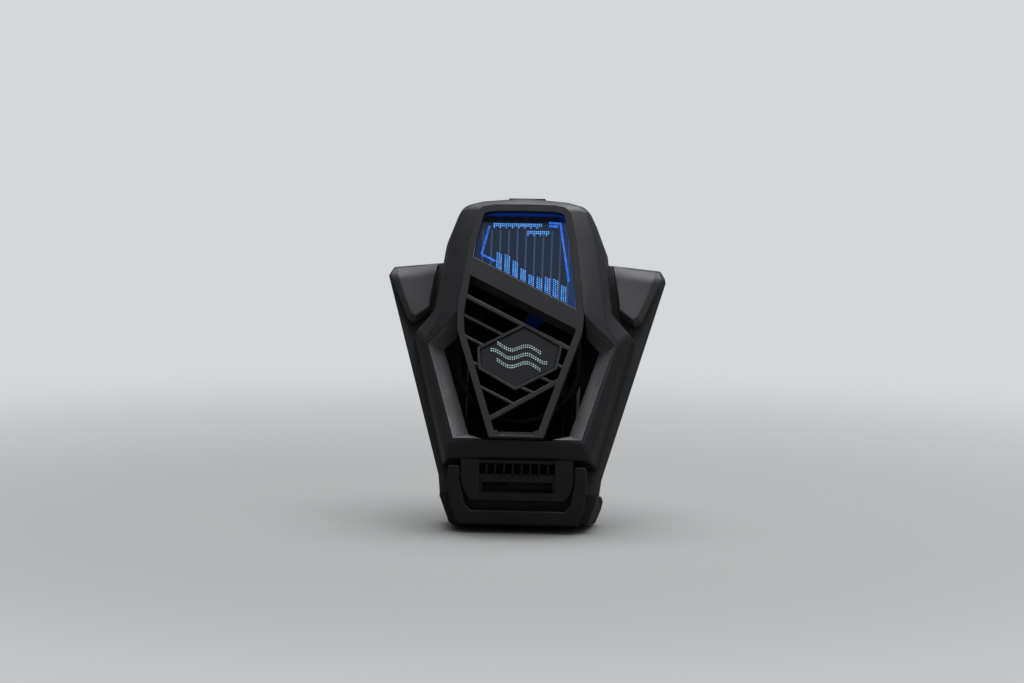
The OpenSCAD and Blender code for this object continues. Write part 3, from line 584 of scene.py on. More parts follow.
class Skin(Enum):
    """The cooler's finishes, by what they are on."""

    HOUSING = Finish("housing_plastic", tone(40, 41, 44), 0.52)
    # VENT paints shade onto the slats of the upper air slot.
    VENT = ShadedSlotFinish("housing_plastic", tone(40, 41, 44), 0.52,
                       half_width=10.8, low=-34.7, high=-31.9, slot_shade=tone(14, 14, 15))
    COVER = Finish("cover_plastic", tone(43, 44, 48), 0.45)
    GRILLE = Finish("grille_plastic", tone(43, 44, 48), 0.47)
    BADGE = Finish("badge_plastic", tone(29, 30, 34), 0.45, relief_mm=0.006)
    BEZEL = Finish("satin_bezel", tone(140, 141, 144), 0.36, Grain.BRUSHED,
                   grain_mm=0.3, relief_mm=0.012, vary=0.24, metallic=0.3)
    BUTTON = Finish("button_paint", tone(82, 82, 86), 0.55, grain_mm=0.24, relief_mm=0.008, specular=0.2)
    RELEASE = Finish("release_plastic", tone(16, 16, 18), 0.6, specular=0.25)
    RUBBER = Finish("grip_rubber", tone(27, 27, 29), 0.82, Grain.MOTTLED,
                    grain_mm=0.5, relief_mm=0.03)
    SWITCH = Finish("switch_plastic", tone(205, 204, 196), 0.5)
    SPRING = Finish("spring_steel", tone(176, 178, 182), 0.3, Grain.BRUSHED,
                    grain_mm=0.2, relief_mm=0.004, vary=0.12, metallic=1.0)
    PLUG = Finish("plug_shell", tone(186, 188, 192), 0.26, Grain.BRUSHED,
                  grain_mm=0.22, relief_mm=0.003, vary=0.1, metallic=1.0)
    PIN = Finish("pin_steel", tone(52, 53, 56), 0.4, Grain.BRUSHED,
                 grain_mm=0.2, relief_mm=0.004, vary=0.12, metallic=1.0)
    SCREW = Finish("screw_steel", tone(120, 121, 124), 0.36, Grain.MOTTLED,
                   grain_mm=0.4, relief_mm=0.006, vary=0.2, metallic=1.0)
    FAN = Finish("fan_plastic", tone(8, 8, 9), 0.65, specular=0.06)
    MAGNET = Finish("magnet", tone(66, 64, 62), 0.6, Grain.MOTTLED,
                    grain_mm=0.4, relief_mm=0.01, vary=0.2, metallic=0.4)
    BRONZE = Finish("bronze", tone(166, 128, 78), 0.45, Grain.MOTTLED,
                    grain_mm=0.3, relief_mm=0.008, vary=0.2, metallic=1.0)
    CORE = Finish("lamination", tone(126, 128, 132), 0.4, Grain.STACKED,
                  grain_mm=0.35, relief_mm=0.02, vary=0.2, metallic=1.0)
    COPPER = Finish("copper", tone(184, 104, 52), 0.34, Grain.STACKED,
                    grain_mm=0.24, relief_mm=0.03, vary=0.2, metallic=1.0)
    # FINS paints lamp light onto the fin edges and a glow under the band.
    FINS = Fins("fin_metal", bare=tone(226, 230, 236), black=tone(16, 18, 24), painted_edge_light=tone(62, 68, 78),
                painted_leak_glow=tone(0, 7, 27), edge_y=-12.9, bare_z=19.0)
    PLATE = Finish("plate_metal", tone(196, 198, 202), 0.3, Grain.BRUSHED,
                   grain_mm=0.26, relief_mm=0.005, vary=0.1, metallic=1.0)
    CERAMIC = Finish("module_ceramic", tone(226, 224, 216), 0.55, Grain.MOTTLED,
                     grain_mm=0.6, relief_mm=0.006, vary=0.06)
    PELLET = Finish("pellet", tone(122, 114, 104), 0.5, Grain.MOTTLED,
                    grain_mm=0.4, relief_mm=0.01, vary=0.2, metallic=0.6)
    GEL = Finish("thermal_gel", tone(150, 156, 163), 0.7, Grain.MOTTLED,
                 grain_mm=0.7, relief_mm=0.03, vary=0.1)
    BOARD = Finish("circuit_board", tone(16, 36, 30), 0.4, Grain.MOTTLED,
                   grain_mm=0.8, relief_mm=0.01, vary=0.24, coat=0.5)
    CHIP = Finish("chips", tone(24, 25, 27), 0.6, Grain.MOTTLED,
                  grain_mm=0.3, relief_mm=0.01)
    LENS = Lens("lens_clear", tone(20, 26, 40), cover=0.14)
    PANEL = LitPanel("lit_panel", haze=(0.044, 0.07, 0.118), glow=(0.0, 0.05, 0.45), top=41.6, band=20.5)
    LAMP = Glow("lamps", "strip", (0.02, 0.16, 1.0), strength=3.0)
    LINE = Glow("lit_panel", "line", tone(58, 124, 255), strength=1.25)
    DOT = Glow("lit_panel", "dot", tone(92, 166, 255), strength=1.75)
    BADGE_DOT = Glow("lamps", "badge", tone(196, 222, 226), strength=0.85)


def placed(name: str, data: bpy.types.ID) -> bpy.types.Object:
    """Puts an object that shows the data in the scene.

    Args:
        name: the object's name.
        data: its mesh, camera or lamp.

    Returns:
        The new object.
    """
    made = bpy.data.objects.new(name, data)
    bpy.context.scene.collection.objects.link(made)
    return made


def settle(holder: bpy.types.Object) -> bpy.types.Mesh:
    """Applies an object's modifiers to a new mesh and removes them.

    Args:
        holder: the object.

    Returns:
        The plain mesh.
    """
    graph = bpy.context.evaluated_depsgraph_get()
    mesh = bpy.data.meshes.new_from_object(holder.evaluated_get(graph), depsgraph=graph)
    holder.modifiers.clear()
    return mesh


class Growth(Graph):
    """A geometry tree with named sizes, which a modifier runs on a carrier mesh."""

    def __init__(self, name: str, sizes: Iterable[str], turned: bool = False) -> None:
        """Makes the tree's sockets.

        Args:
            name: the tree's name.
            sizes: names of its inputs, each a length in metres.
            turned: whether it also takes a turn, in radians about X, Y and Z.
        """
        super().__init__(bpy.data.node_groups.new(name, "GeometryNodeTree"))
        face = self.tree.interface
        face.new_socket("Carrier", in_out="INPUT", socket_type="NodeSocketGeometry")
        kinds = [(size, "NodeSocketFloat") for size in sizes]
        if turned:
            kinds.append(("Turn", "NodeSocketVector"))
        kinds.append(("Material", "NodeSocketMaterial"))
        self.keys = {}
        for label, kind in kinds:
            made = face.new_socket(label, in_out="INPUT", socket_type=kind)
            self.keys[label] = made.identifier
        face.new_socket("Result", in_out="OUTPUT", socket_type="NodeSocketGeometry")
        self.entry = self.node("NodeGroupInput")

    def given(self, name: str) -> Value:
        """One of the tree's inputs."""
        return Value(self, self.entry.outputs[name])

    def close(self, geometry: Value) -> None:
        """Ends the tree: instances become mesh and take the material.

        Args:
            geometry: what the tree has made.
        """
        real = self.value("GeometryNodeRealizeInstances", inputs={0: geometry})
        dressed = self.value("GeometryNodeSetMaterial", inputs={
            "Geometry": real, "Material": self.given("Material")})
        self.node("NodeGroupOutput", inputs={0: dressed})

    def run(self, carrier: bpy.types.Mesh, material: bpy.types.Material, sizes: dict[str, float],
            turn: Triple | None = None) -> bpy.types.Mesh:
        """Runs the tree on a carrier.

        Args:
            carrier: points or edges that the tree works on.
            material: the material that the result takes.
            sizes: the tree's lengths by name, in millimetres.
            turn: the turn of what it grows, for a tree that takes one.

        Returns:
            The plain mesh.
        """
        holder = placed("carrier", carrier)
        growth = holder.modifiers.new("growth", "NODES")
        growth.node_group = self.tree
        growth[self.keys["Material"]] = material
        for label, size in sizes.items():
            growth[self.keys[label]] = size * MM
        if turn is not None:
            growth[self.keys["Turn"]] = turn
        mesh = settle(holder)
        bpy.data.objects.remove(holder)
        return mesh


class Growths:
    """The geometry trees that repeat marks, bars, lines and screws."""

    STUD_SIDES = 8
    ROD_SIDES = 10
    HEAD_SIDES = 32
    SHANK_SIDES = 20
    CROSS_REACH = 1.25

    def __init__(self) -> None:
        """Builds each tree once."""
        self.dots = self._dots()
        self.bars = self._bars()
        self.lines = self._lines()
        self.screws = self._screws()

    def _dots(self) -> Growth:
        """Builds small round studs on points, their flat side to the front.

        Returns:
            The tree.
        """
        tree = Growth("studs", ["Radius", "Height"])
        stud = self._rod(tree, self.STUD_SIDES, tree.given("Radius"), tree.given("Height"))
        turned = tree.value("GeometryNodeTransform", inputs={
            "Geometry": stud, "Rotation": (math.pi / 2, 0.0, 0.0)})
        tree.close(tree.value("GeometryNodeInstanceOnPoints", inputs={
            "Points": tree.given("Carrier"), "Instance": turned}))
        return tree

    def _bars(self) -> Growth:
        """Builds round bars along X on points, as long as each point's reach says.

        Returns:
            The tree.
        """
        tree = Growth("ribs", ["Radius"])
        turned = tree.value("GeometryNodeTransform", inputs={
            "Geometry": self._rod(tree, self.ROD_SIDES, tree.given("Radius"), 1.0),
            "Rotation": (0.0, math.pi / 2, 0.0)})
        reach = tree.value("GeometryNodeInputNamedAttribute", {"data_type": "FLOAT"}, {"Name": "reach"})
        scale = tree.value("ShaderNodeCombineXYZ", inputs={0: reach, 1: 1.0, 2: 1.0})
        tree.close(tree.value("GeometryNodeInstanceOnPoints", inputs={
            "Points": tree.given("Carrier"), "Instance": turned, "Scale": scale}))
        return tree

    @staticmethod
    def _lines() -> Growth:
        """Builds flat strips that follow the carrier's edges.

        Returns:
            The tree.
        """
        tree = Growth("strips", ["Width", "Height"])
        path = tree.value("GeometryNodeMeshToCurve", inputs={0: tree.given("Carrier")})
        profile = tree.value("GeometryNodeCurvePrimitiveQuadrilateral", inputs={
            "Width": tree.given("Height"), "Height": tree.given("Width")})
        tree.close(tree.value("GeometryNodeCurveToMesh", inputs={
            "Curve": path, "Profile Curve": profile, "Fill Caps": True}))
        return tree

    def _screws(self) -> Growth:
        """Builds pan-head screws with a cross recess, on points at the middle of the head's top.

        Returns:
            The tree.
        """
        tree = Growth("screws", ["Head radius", "Head height", "Cross width", "Cross depth",
                                 "Shank radius", "Shank length"], turned=True)
        radius, head_h = tree.given("Head radius"), tree.given("Head height")
        head = self._lowered(tree, self._rod(tree, self.HEAD_SIDES, radius, head_h), head_h * 0.5)
        cut = tree.node("GeometryNodeMeshBoolean", {"operation": "DIFFERENCE"}, {"Mesh 1": head})
        for long, narrow in ((0, 1), (1, 0)):
            size = tree.value("ShaderNodeCombineXYZ", inputs={
                long: radius * self.CROSS_REACH, narrow: tree.given("Cross width"),
                2: tree.given("Cross depth") * 2})
            tree.feed(cut.inputs["Mesh 2"], tree.value("GeometryNodeMeshCube", inputs={"Size": size}))
        shank_h = tree.given("Shank length")
        shank = self._rod(tree, self.SHANK_SIDES, tree.given("Shank radius"), shank_h)
        whole = tree.node("GeometryNodeJoinGeometry", inputs={0: Value(tree, cut.outputs[0])})
        tree.feed(whole.inputs[0], self._lowered(tree, shank, head_h + shank_h * 0.5))
        turn = tree.value("FunctionNodeEulerToRotation", inputs={0: tree.given("Turn")})
        tree.close(tree.value("GeometryNodeInstanceOnPoints", inputs={
            "Points": tree.given("Carrier"), "Instance": Value(tree, whole.outputs[0]),
            "Rotation": turn}))
        return tree

    @staticmethod
    def _rod(tree: Growth, sides: int, radius: Value, length: Any) -> Value:
        """A cylinder along Z round the origin."""
        return tree.value("GeometryNodeMeshCylinder", inputs={
            "Vertices": sides, "Radius": radius, "Depth": length})

    @staticmethod
    def _lowered(tree: Growth, shape: Value, drop: Value) -> Value:
        """A shape moved down along Z."""
        move = tree.value("ShaderNodeCombineXYZ", inputs={2: drop * -1.0})
        return tree.value("GeometryNodeTransform", inputs={"Geometry": shape, "Translation": move})


def points_mesh(places: Iterable[Iterable[float]],
                edges: Iterable[tuple[int, int]] = ()) -> bpy.types.Mesh:
    """Makes a mesh of points, with edges if they are given.

    Args:
        places: the points, in millimetres.
        edges: pairs of points by number.

    Returns:
        The mesh.
    """
    mesh = bpy.data.meshes.new("places")
    mesh.from_pydata([Vector(place) * MM for place in places], list(edges), [])
    return mesh


@dataclass(frozen=True)
class Rounding:
    """One pass that rounds a shape's sharp outer edges.

    Fields: the radius in millimetres, the facets across it, a choice of places in millimetres
    where edges are rounded, and the room that an edge needs, as a multiple of the radius.
    """

    radius: float
    steps: int = 2
    where: Callable[[Vector], bool] | None = None
    room: float = 2.3


FINE_EDGE = Rounding(0.2)


@dataclass(frozen=True)
class Melting:
    """How a solid is bent to a rolled form and its edges are softened.

    Fields: the grid's pitch in millimetres, the smoothing passes, and a function that moves
    a place in millimetres.
    """

    pitch: float
    passes: int
    bend: Callable[[Vector], Vector]


class Bench:
    """The frame, and the ways a piece is dressed, copied or added.

    Points within MERGE are joined, faces within FLAT become one, edges past SHARP are rounded and
    those past SMOOTH stay creased. RELAX is the strength of one smoothing pass. Two edges lie
    beside each other when the cosine between them is under ASIDE.
    """

    MERGE = 0.002 * MM
    FLAT = math.radians(0.6)
    SHARP = math.radians(17)
    SMOOTH = math.radians(38)
    RELAX = 0.5
    ASIDE = 0.9

    def __init__(self, frame: dict[str, Any]) -> None:
        """Keeps the frame's nodes and builds the geometry trees."""
        self.nodes = frame["nodes"]
        self.growths = Growths()

    def body(self, node: str) -> str:
        """The body that a solid rides on."""
        return self.nodes[node]["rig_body"]

    def paint(self, skin: Skin, *nodes: str) -> None:
        """Gives solids that keep their shape a finish.

        Args:
            skin: the finish.
            nodes: the solids.
        """
        for node in nodes:
            piece = self.nodes[node]
            if not piece.material_slots:
                piece.data.materials.append(None)
            for slot in piece.material_slots:
                slot.material = skin.value.material()
            LOG.info("painted %s with %s", node, skin.name)

    def add(self, name: str, mesh: bpy.types.Mesh, skin: Skin, body: str,
            stands_for: Iterable[str] = ()) -> bpy.types.Object:
        """Adds a finished mesh as a piece.

        Args:
            name: the piece's name.
            mesh: its mesh, in place.
            skin: its finish.
            body: the body that it rides on.
            stands_for: solids that it replaces.

        Returns:
            The piece.
        """
        piece = placed(name, mesh)
        mesh.materials.clear()
        mesh.materials.append(skin.value.material())
        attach(piece, body)
        if stands_for:
            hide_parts(*stands_for)
        LOG.info("added %s on %s", name, body)
        return piece

    def grow(self, name: str, tree: Growth, carrier: bpy.types.Mesh, skin: Skin, body: str,
             sizes: dict[str, float], turn: Triple | None = None, stands_for: Iterable[str] = ()) -> None:
        """Adds what a geometry tree grows on a carrier as a piece.

        Args:
            name: the piece's name.
            tree: the tree.
            carrier: points or edges that it works on.
            skin: the piece's finish.
            body: the body that it rides on.
            sizes: the tree's lengths by name, in millimetres.
            turn: the turn of what it grows, for a tree that takes one.
            stands_for: solids that the piece replaces.
        """
        mesh = tree.run(carrier, skin.value.material(), sizes, turn)
        mesh.name = name
        self.add(name, mesh, skin, body, stands_for)

    def merged(self, node: str) -> bmesh.types.BMesh:
        """Copies a solid and joins its loose triangles.

        Args:
            node: the solid.

        Returns:
            The copy.
        """
        shape = bmesh.new()
        shape.from_mesh(self.nodes[node].data)
        bmesh.ops.remove_doubles(shape, verts=shape.verts, dist=self.MERGE)
        return shape

    def shape(self, node: str) -> bmesh.types.BMesh:
        """Copies a solid, merged and with its flat faces made whole.

        Args:
            node: the solid.

        Returns:
            The copy.
        """
        shape = self.merged(node)
        bmesh.ops.dissolve_limit(shape, angle_limit=self.FLAT, verts=shape.verts, edges=shape.edges)
        return shape

    def mesh(self, name: str, shape: bmesh.types.BMesh) -> bpy.types.Mesh:
        """Turns a shape into a mesh with smooth faces and weighted normals.

        Args:
            name: the mesh's name.
            shape: the shape, which is freed.

        Returns:
            The mesh.
        """
        mesh = bpy.data.meshes.new(name)
        shape.to_mesh(mesh)
        shape.free()
        stale = mesh.attributes.get("custom_normal")
        if stale is not None:
            mesh.attributes.remove(stale)
        mesh.shade_smooth()
        mesh.set_sharp_from_angle(angle=self.SMOOTH)
        holder = placed("holder", mesh)
        weigh = holder.modifiers.new("weigh", "WEIGHTED_NORMAL")
        weigh.keep_sharp = True
        done = settle(holder)
        bpy.data.objects.remove(holder)
        done.name = name
        return done

    def soften(self, node: str, skin: Skin, *roundings: Rounding) -> None:
        """Stands a copy with rounded outer edges in for a solid.

        Args:
            node: the solid.
            skin: the copy's finish.
            roundings: the passes, widest first.
        """
        shape = self.shape(node)
        for rounding in roundings:
            self.round(shape, rounding)
        self.add(f"soft_{node}", self.mesh(node, shape), skin, self.body(node), [node])

    def melt(self, node: str, skin: Skin, melting: Melting) -> None:
        """Stands a copy with a rolled form and soft edges in for a solid.

        Args:
            node: the solid.
            skin: the copy's finish.
            melting: how fine its mesh is, how soft, and how it bends.
        """
        holder = placed("holder", self.nodes[node].data.copy())
        grid = holder.modifiers.new("grid", "REMESH")
        grid.mode = "VOXEL"
        grid.voxel_size = melting.pitch * MM
        holder.data = settle(holder)
        for vert in holder.data.vertices:
            vert.co = melting.bend(vert.co / MM) * MM
        smooth = holder.modifiers.new("smooth", "SMOOTH")
        smooth.factor = self.RELAX
        smooth.iterations = melting.passes
        shape = bmesh.new()
        shape.from_mesh(settle(holder))
        bpy.data.objects.remove(holder)
        self.add(f"soft_{node}", self.mesh(node, shape), skin, self.body(node), [node])

    def round(self, shape: bmesh.types.BMesh, rounding: Rounding) -> None:
        """Rounds the sharp convex edges that have room for it and aren't rounded yet.

        Args:
            shape: the shape, changed in place.
            rounding: how wide, how fine and where.
        """
        radius = rounding.radius * MM
        edges = []
        for edge in shape.edges:
            if edge.tag or len(edge.link_faces) != 2:
                continue
            middle = (edge.verts[0].co + edge.verts[1].co) / (2 * MM)
            if rounding.where is not None and not rounding.where(middle):
                continue
            if edge.calc_face_angle_signed(0.0) > self.SHARP and self.room(edge) > rounding.room * radius:
                edges.append(edge)
        if not edges:
            return
        made = bmesh.ops.bevel(shape, geom=edges, offset=radius, offset_type="OFFSET",
                               segments=rounding.steps, profile=0.5, affect="EDGES", clamp_overlap=False)
        for face in made["faces"]:
            for edge in face.edges:
                edge.tag = True

    def room(self, edge: bmesh.types.BMEdge) -> float:
        """Finds the shortest length that a rounding of an edge has at its two ends.

        Args:
            edge: the edge.

        Returns:
            The length, in metres.
        """
        along = (edge.verts[1].co - edge.verts[0].co).normalized()
        lengths = [math.inf]
        for vert in edge.verts:
            for other in vert.link_edges:
                way = (other.other_vert(vert).co - vert.co).normalized()
                if abs(way.dot(along)) < self.ASIDE:
                    lengths.append(other.calc_length())
        return min(lengths)


class Facing(Enum):
    """Which way a screw's head faces: the axis, whether it is the far end, and the turn."""

    BACK = (1, True, (-math.pi / 2, 0.0, 0.0))
    DOWN = (2, False, (math.pi, 0.0, 0.0))


@dataclass
class CrossScrews:
    """Screws with cross recesses, which stand in for a node's plain ones."""

    bench: Bench
    node: str
    facing: Facing
    head_radius: float
    head_height: float
    cross_depth: float
    cross_width: float = 0.5
    shank_radius: float = 0.9

    def dress(self) -> None:
        """Sets one screw at each plain one's head and replaces the node."""
        axis, far, turn = self.facing.value
        low, high = (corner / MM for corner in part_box(self.node))
        places = self._centres()
        for place in places:
            place[axis] = (high if far else low)[axis]
        sizes = {
            "Head radius": self.head_radius,
            "Head height": self.head_height,
            "Cross width": self.cross_width,
            "Cross depth": self.cross_depth,
            "Shank radius": self.shank_radius,
            "Shank length": high[axis] - low[axis] - self.head_height,
        }
        self.bench.grow(f"cross_{self.node}", self.bench.growths.screws, points_mesh(places), Skin.SCREW,
                        self.bench.body(self.node), sizes, turn, [self.node])

    def _centres(self) -> list[Vector]:
        """Finds the middle of each separate screw in the node.

        Returns:
            The middles in millimetres, from left to right and from below.
        """
        shape = self.bench.merged(self.node)
        left = set(shape.verts)
        centres = []
        while left:
            group, waiting = [], [left.pop()]
            while waiting:
                vert = waiting.pop()
                group.append(vert.co / MM)
                beside = {edge.other_vert(vert) for edge in vert.link_edges} & left
                left -= beside
                waiting.extend(beside)
            corners = [Vector(pick(place[i] for place in group) for i in range(3)) for pick in (min, max)]
            centres.append((corners[0] + corners[1]) / 2)
        shape.free()
        return sorted(centres, key=lambda place: (round(place.x, 3), round(place.z, 3)))


@dataclass
class Casing:
    """Front cover, rear housing, the pads and the screws behind."""

    bench: Bench
    cover_round: float = 1.0
    cover_fine: float = 0.25
    housing_round: float = 0.5
    pad_round: float = 0.15
    seam_depth: float = 1.2
    seam_z: float = 10.5
    screw_head: float = 1.8
    head_height: float = 0.75
    cross_depth: float = 0.45

    @cached_property
    def front(self) -> float:
        """Depth of the front, in millimetres."""
        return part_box("grille")[0].y / MM

    def dress(self) -> None:
        """Finishes the two shells and what is on the rear one."""
        self.bench.soften("front_cover", Skin.COVER,
                          Rounding(self.cover_round, steps=5, where=self.off_seam),
                          Rounding(self.cover_fine, where=self.off_seam))
        self.bench.soften("rear_housing", Skin.HOUSING, Rounding(self.housing_round, steps=3), FINE_EDGE)
        self.bench.soften("rear_pads", Skin.RUBBER, Rounding(self.pad_round))
        CrossScrews(self.bench, "housing_screws", Facing.BACK, self.screw_head, self.head_height,
                    self.cross_depth).dress()

    def off_seam(self, point: Vector) -> bool:
        """Whether a point is clear of the edge where the cover meets the grille flush."""
        return point.y > self.front + self.seam_depth or point.z < self.seam_z


@dataclass
class GrillePanel:
    """Grille with its diagonal band, and the lit badge in its hexagon.

    The wave fields shape the badge's strokes. The seam with the cover starts at seam_z, where the
    rim's outer edge is crest off the middle, and leans inward by crest_slant up to window_top.
    """

    bench: Bench
    edge_round: float = 0.22
    plate_round: float = 0.12
    wave_rows: int = 3
    wave_columns: int = 27
    wave_cut: int = 6
    dot_pitch: float = 0.62
    dot_radius: float = 0.19
    dot_height: float = 0.14
    wave_gap: float = 2.5
    wave_rise: float = 0.9
    wave_turn: float = 0.62
    wave_slope: float = 0.12
    badge_z: float = -2.2
    seam_z: float = Casing.seam_z
    crest: float = 17.4
    crest_slant: float = 0.135
    window_top: float = 42.4
    foot_z: float = -22.0

    def dress(self) -> None:
        """Finishes the grille and the badge, and sets the badge's dots."""
        self.bench.soften("grille", Skin.GRILLE, Rounding(self.edge_round, where=self.off_seam))
        self.bench.soften("badge_plate", Skin.BADGE, Rounding(self.plate_round))
        self.bench.paint(Skin.BOARD, "badge_board")
        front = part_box("badge_plate")[0].y / MM - self.dot_height / 2
        places = points_mesh((x, front, z) for x, z in self.waves())
        self.bench.grow("badge_dots", self.bench.growths.dots, places, Skin.BADGE_DOT,
                        self.bench.body("badge_plate"),
                        {"Radius": self.dot_radius, "Height": self.dot_height})

    def off_seam(self, point: Vector) -> bool:
        """Tells whether a point is clear of the outer edge that meets the cover, and of the foot.

        Args:
            point: the place, in millimetres.

        Returns:
            True where edges are rounded.
        """
        slant = self.crest - self.crest_slant * (point.z - self.seam_z)
        on_rim = point.z > self.seam_z and (abs(point.x) > slant or point.z > self.window_top)
        return point.z > self.foot_z and not on_rim

    def waves(self) -> list[Plan]:
        """Lays out strokes of moving air, two dots thick, the middle one longest.

        Returns:
            The dots' places.
        """
        places = []
        for row in range(self.wave_rows):
            off_middle = row - (self.wave_rows - 1) / 2
            count = self.wave_columns - self.wave_cut * round(abs(off_middle))
            for column in range(count):
                x = (column - (count - 1) / 2) * self.dot_pitch
                wave = self.wave_rise * math.sin(x * self.wave_turn) - self.wave_slope * x
                z = self.badge_z - off_middle * self.wave_gap + wave
                places.extend(((x, z), (x, z + self.dot_pitch)))
        return places


@dataclass
class Window:
    """Clear window, light guide, lamps and the plain marks that shine through."""

    bench: Bench
    line_width: float = 0.66
    line_height: float = 0.16
    dot_pitch: float = 0.6
    dot_radius: float = 0.21
    meter_foot: float = 21.6
    meter_start: float = -7.6
    meter_end: float = 13.2
    meter_rows: int = 9
    bar_columns: int = 4
    level_middle: float = 0.8
    level_swing: float = 0.2
    level_waves: float = 1.3
    level_start: float = 0.1
    left_line: tuple[Plan, ...] = ((-10.2, 37.7), (-12.2, 29.1), (-8.2, 27.1))
    right_line: tuple[Plan, ...] = ((7.2, 38.9), (10.6, 38.7), (13.6, 21.3))
    inner_line: tuple[Plan, ...] = ((7.3, 37.9), (10.0, 37.8))
    long_scale: Triple = (-8.8, 5.4, 38.4)
    short_scale: Triple = (1.2, 7.6, 36.2)
    tick_every: int = 3
    tick_pitch: float = 0.54

    def dress(self) -> None:
        """Finishes the window and sets its lines and dots on the light guide."""
        self.bench.paint(Skin.LENS, "window_lens")
        self.bench.paint(Skin.PANEL, "light_panel")
        self.bench.paint(Skin.LAMP, "led_strip")
        self._lines()
        self._dots()

    @cached_property
    def front(self) -> float:
        """Depth, in millimetres, of the middle of the marks on the light guide."""
        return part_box("light_panel")[0].y / MM - self.line_height / 2

    def _lines(self) -> None:
        """The lit outline at both sides of the window."""
        places, edges = [], []
        for line in (self.left_line, self.right_line, self.inner_line):
            first = len(places)
            places.extend((x, self.front, z) for x, z in line)
            edges.extend((first + i, first + i + 1) for i in range(len(line) - 1))
        self.bench.grow("window_lines", self.bench.growths.lines, points_mesh(places, edges), Skin.LINE,
                        self.bench.body("light_panel"),
                        {"Width": self.line_width, "Height": self.line_height})

    def _dots(self) -> None:
        """A plain level meter along the band and two short scales at the top, all of dots."""
        places = points_mesh((x, self.front, z) for x, z in (*self.meter(), *self.scales()))
        self.bench.grow("window_dots", self.bench.growths.dots, places, Skin.DOT,
                        self.bench.body("light_panel"),
                        {"Radius": self.dot_radius, "Height": self.line_height})

    def meter(self) -> list[Plan]:
        """Lays out bars of dots that stand on the band and swell, a column apart.

        Returns:
            The dots' places.
        """
        places = []
        columns = int((self.meter_end - self.meter_start) / self.dot_pitch) + 1
        for column in range(columns):
            bar, within = divmod(column, self.bar_columns)
            if within == self.bar_columns - 1:
                continue
            x = self.meter_start + column * self.dot_pitch
            share = bar / (columns // self.bar_columns)
            swing = math.sin(math.tau * (self.level_waves * share + self.level_start))
            rows = round((self.level_middle + self.level_swing * swing) * self.meter_rows)
            foot = self.meter_foot - BAND_SLOPE * x
            places.extend((x, foot + row * self.dot_pitch) for row in range(rows))
        return places

    def scales(self) -> list[Plan]:
        """Lays out two rows of even marks, two dots tall, with a third dot at each tick.

        Returns:
            The dots' places.
        """
        places = []
        for start, end, top in (self.long_scale, self.short_scale):
            for column in range(int((end - start) / self.dot_pitch) + 1):
                tall = 3 if column % self.tick_every == 0 else 2
                x = start + column * self.dot_pitch
                places.extend((x, top - row * self.tick_pitch) for row in range(tall))
        return places


@dataclass
class SideButtons:
    """The two finger buttons, their switches and the satin blades beside the grille.

    At brow_x a cap's top edge lies at brow_z and its front at cap_front. Further out the edge falls
    by brow_fall and the front recedes by cap_taper, for each millimetre. The roll starts brow_height
    below the top edge and has the radius brow_radius.
    """

    bench: Bench
    grid: float = 0.25
    edge_passes: int = 7
    brow_height: float = 3.9
    brow_radius: float = 3.1
    brow_z: float = 29.4
    brow_x: float = 24.0
    brow_fall: float = 0.115
    cap_front: float = -13.0
    cap_taper: float = 0.17
    cap_back: float = -7.4
    blade_round: float = 0.25

    def dress(self) -> None:
        """Finishes both sides alike."""
        melting = Melting(self.grid, self.edge_passes, self.rolled)
        for side in ("left", "right"):
            self.bench.melt(f"{side}_button", Skin.BUTTON, melting)
            self.bench.soften(f"{side}_bezel", Skin.BEZEL, Rounding(self.blade_round))
            self.bench.paint(Skin.SWITCH, f"{side}_switch")

    def rolled(self, point: Vector) -> Vector:
        """Moves a cap's upper front back, so that its top rolls over.

        Args:
            point: the place, in millimetres.

        Returns:
            The moved place.
        """
        outward = abs(point.x) - self.brow_x
        top = self.brow_z - self.brow_fall * outward
        front = self.cap_front + self.cap_taper * outward
        above = max(point.z - top + self.brow_height, 0.0)
        share = (self.cap_back - point.y) / (self.cap_back - front)
        back = above * above / (2 * self.brow_radius) * min(max(share, 0.0), 1.0)
        return point + Vector((0.0, back, 0.0))


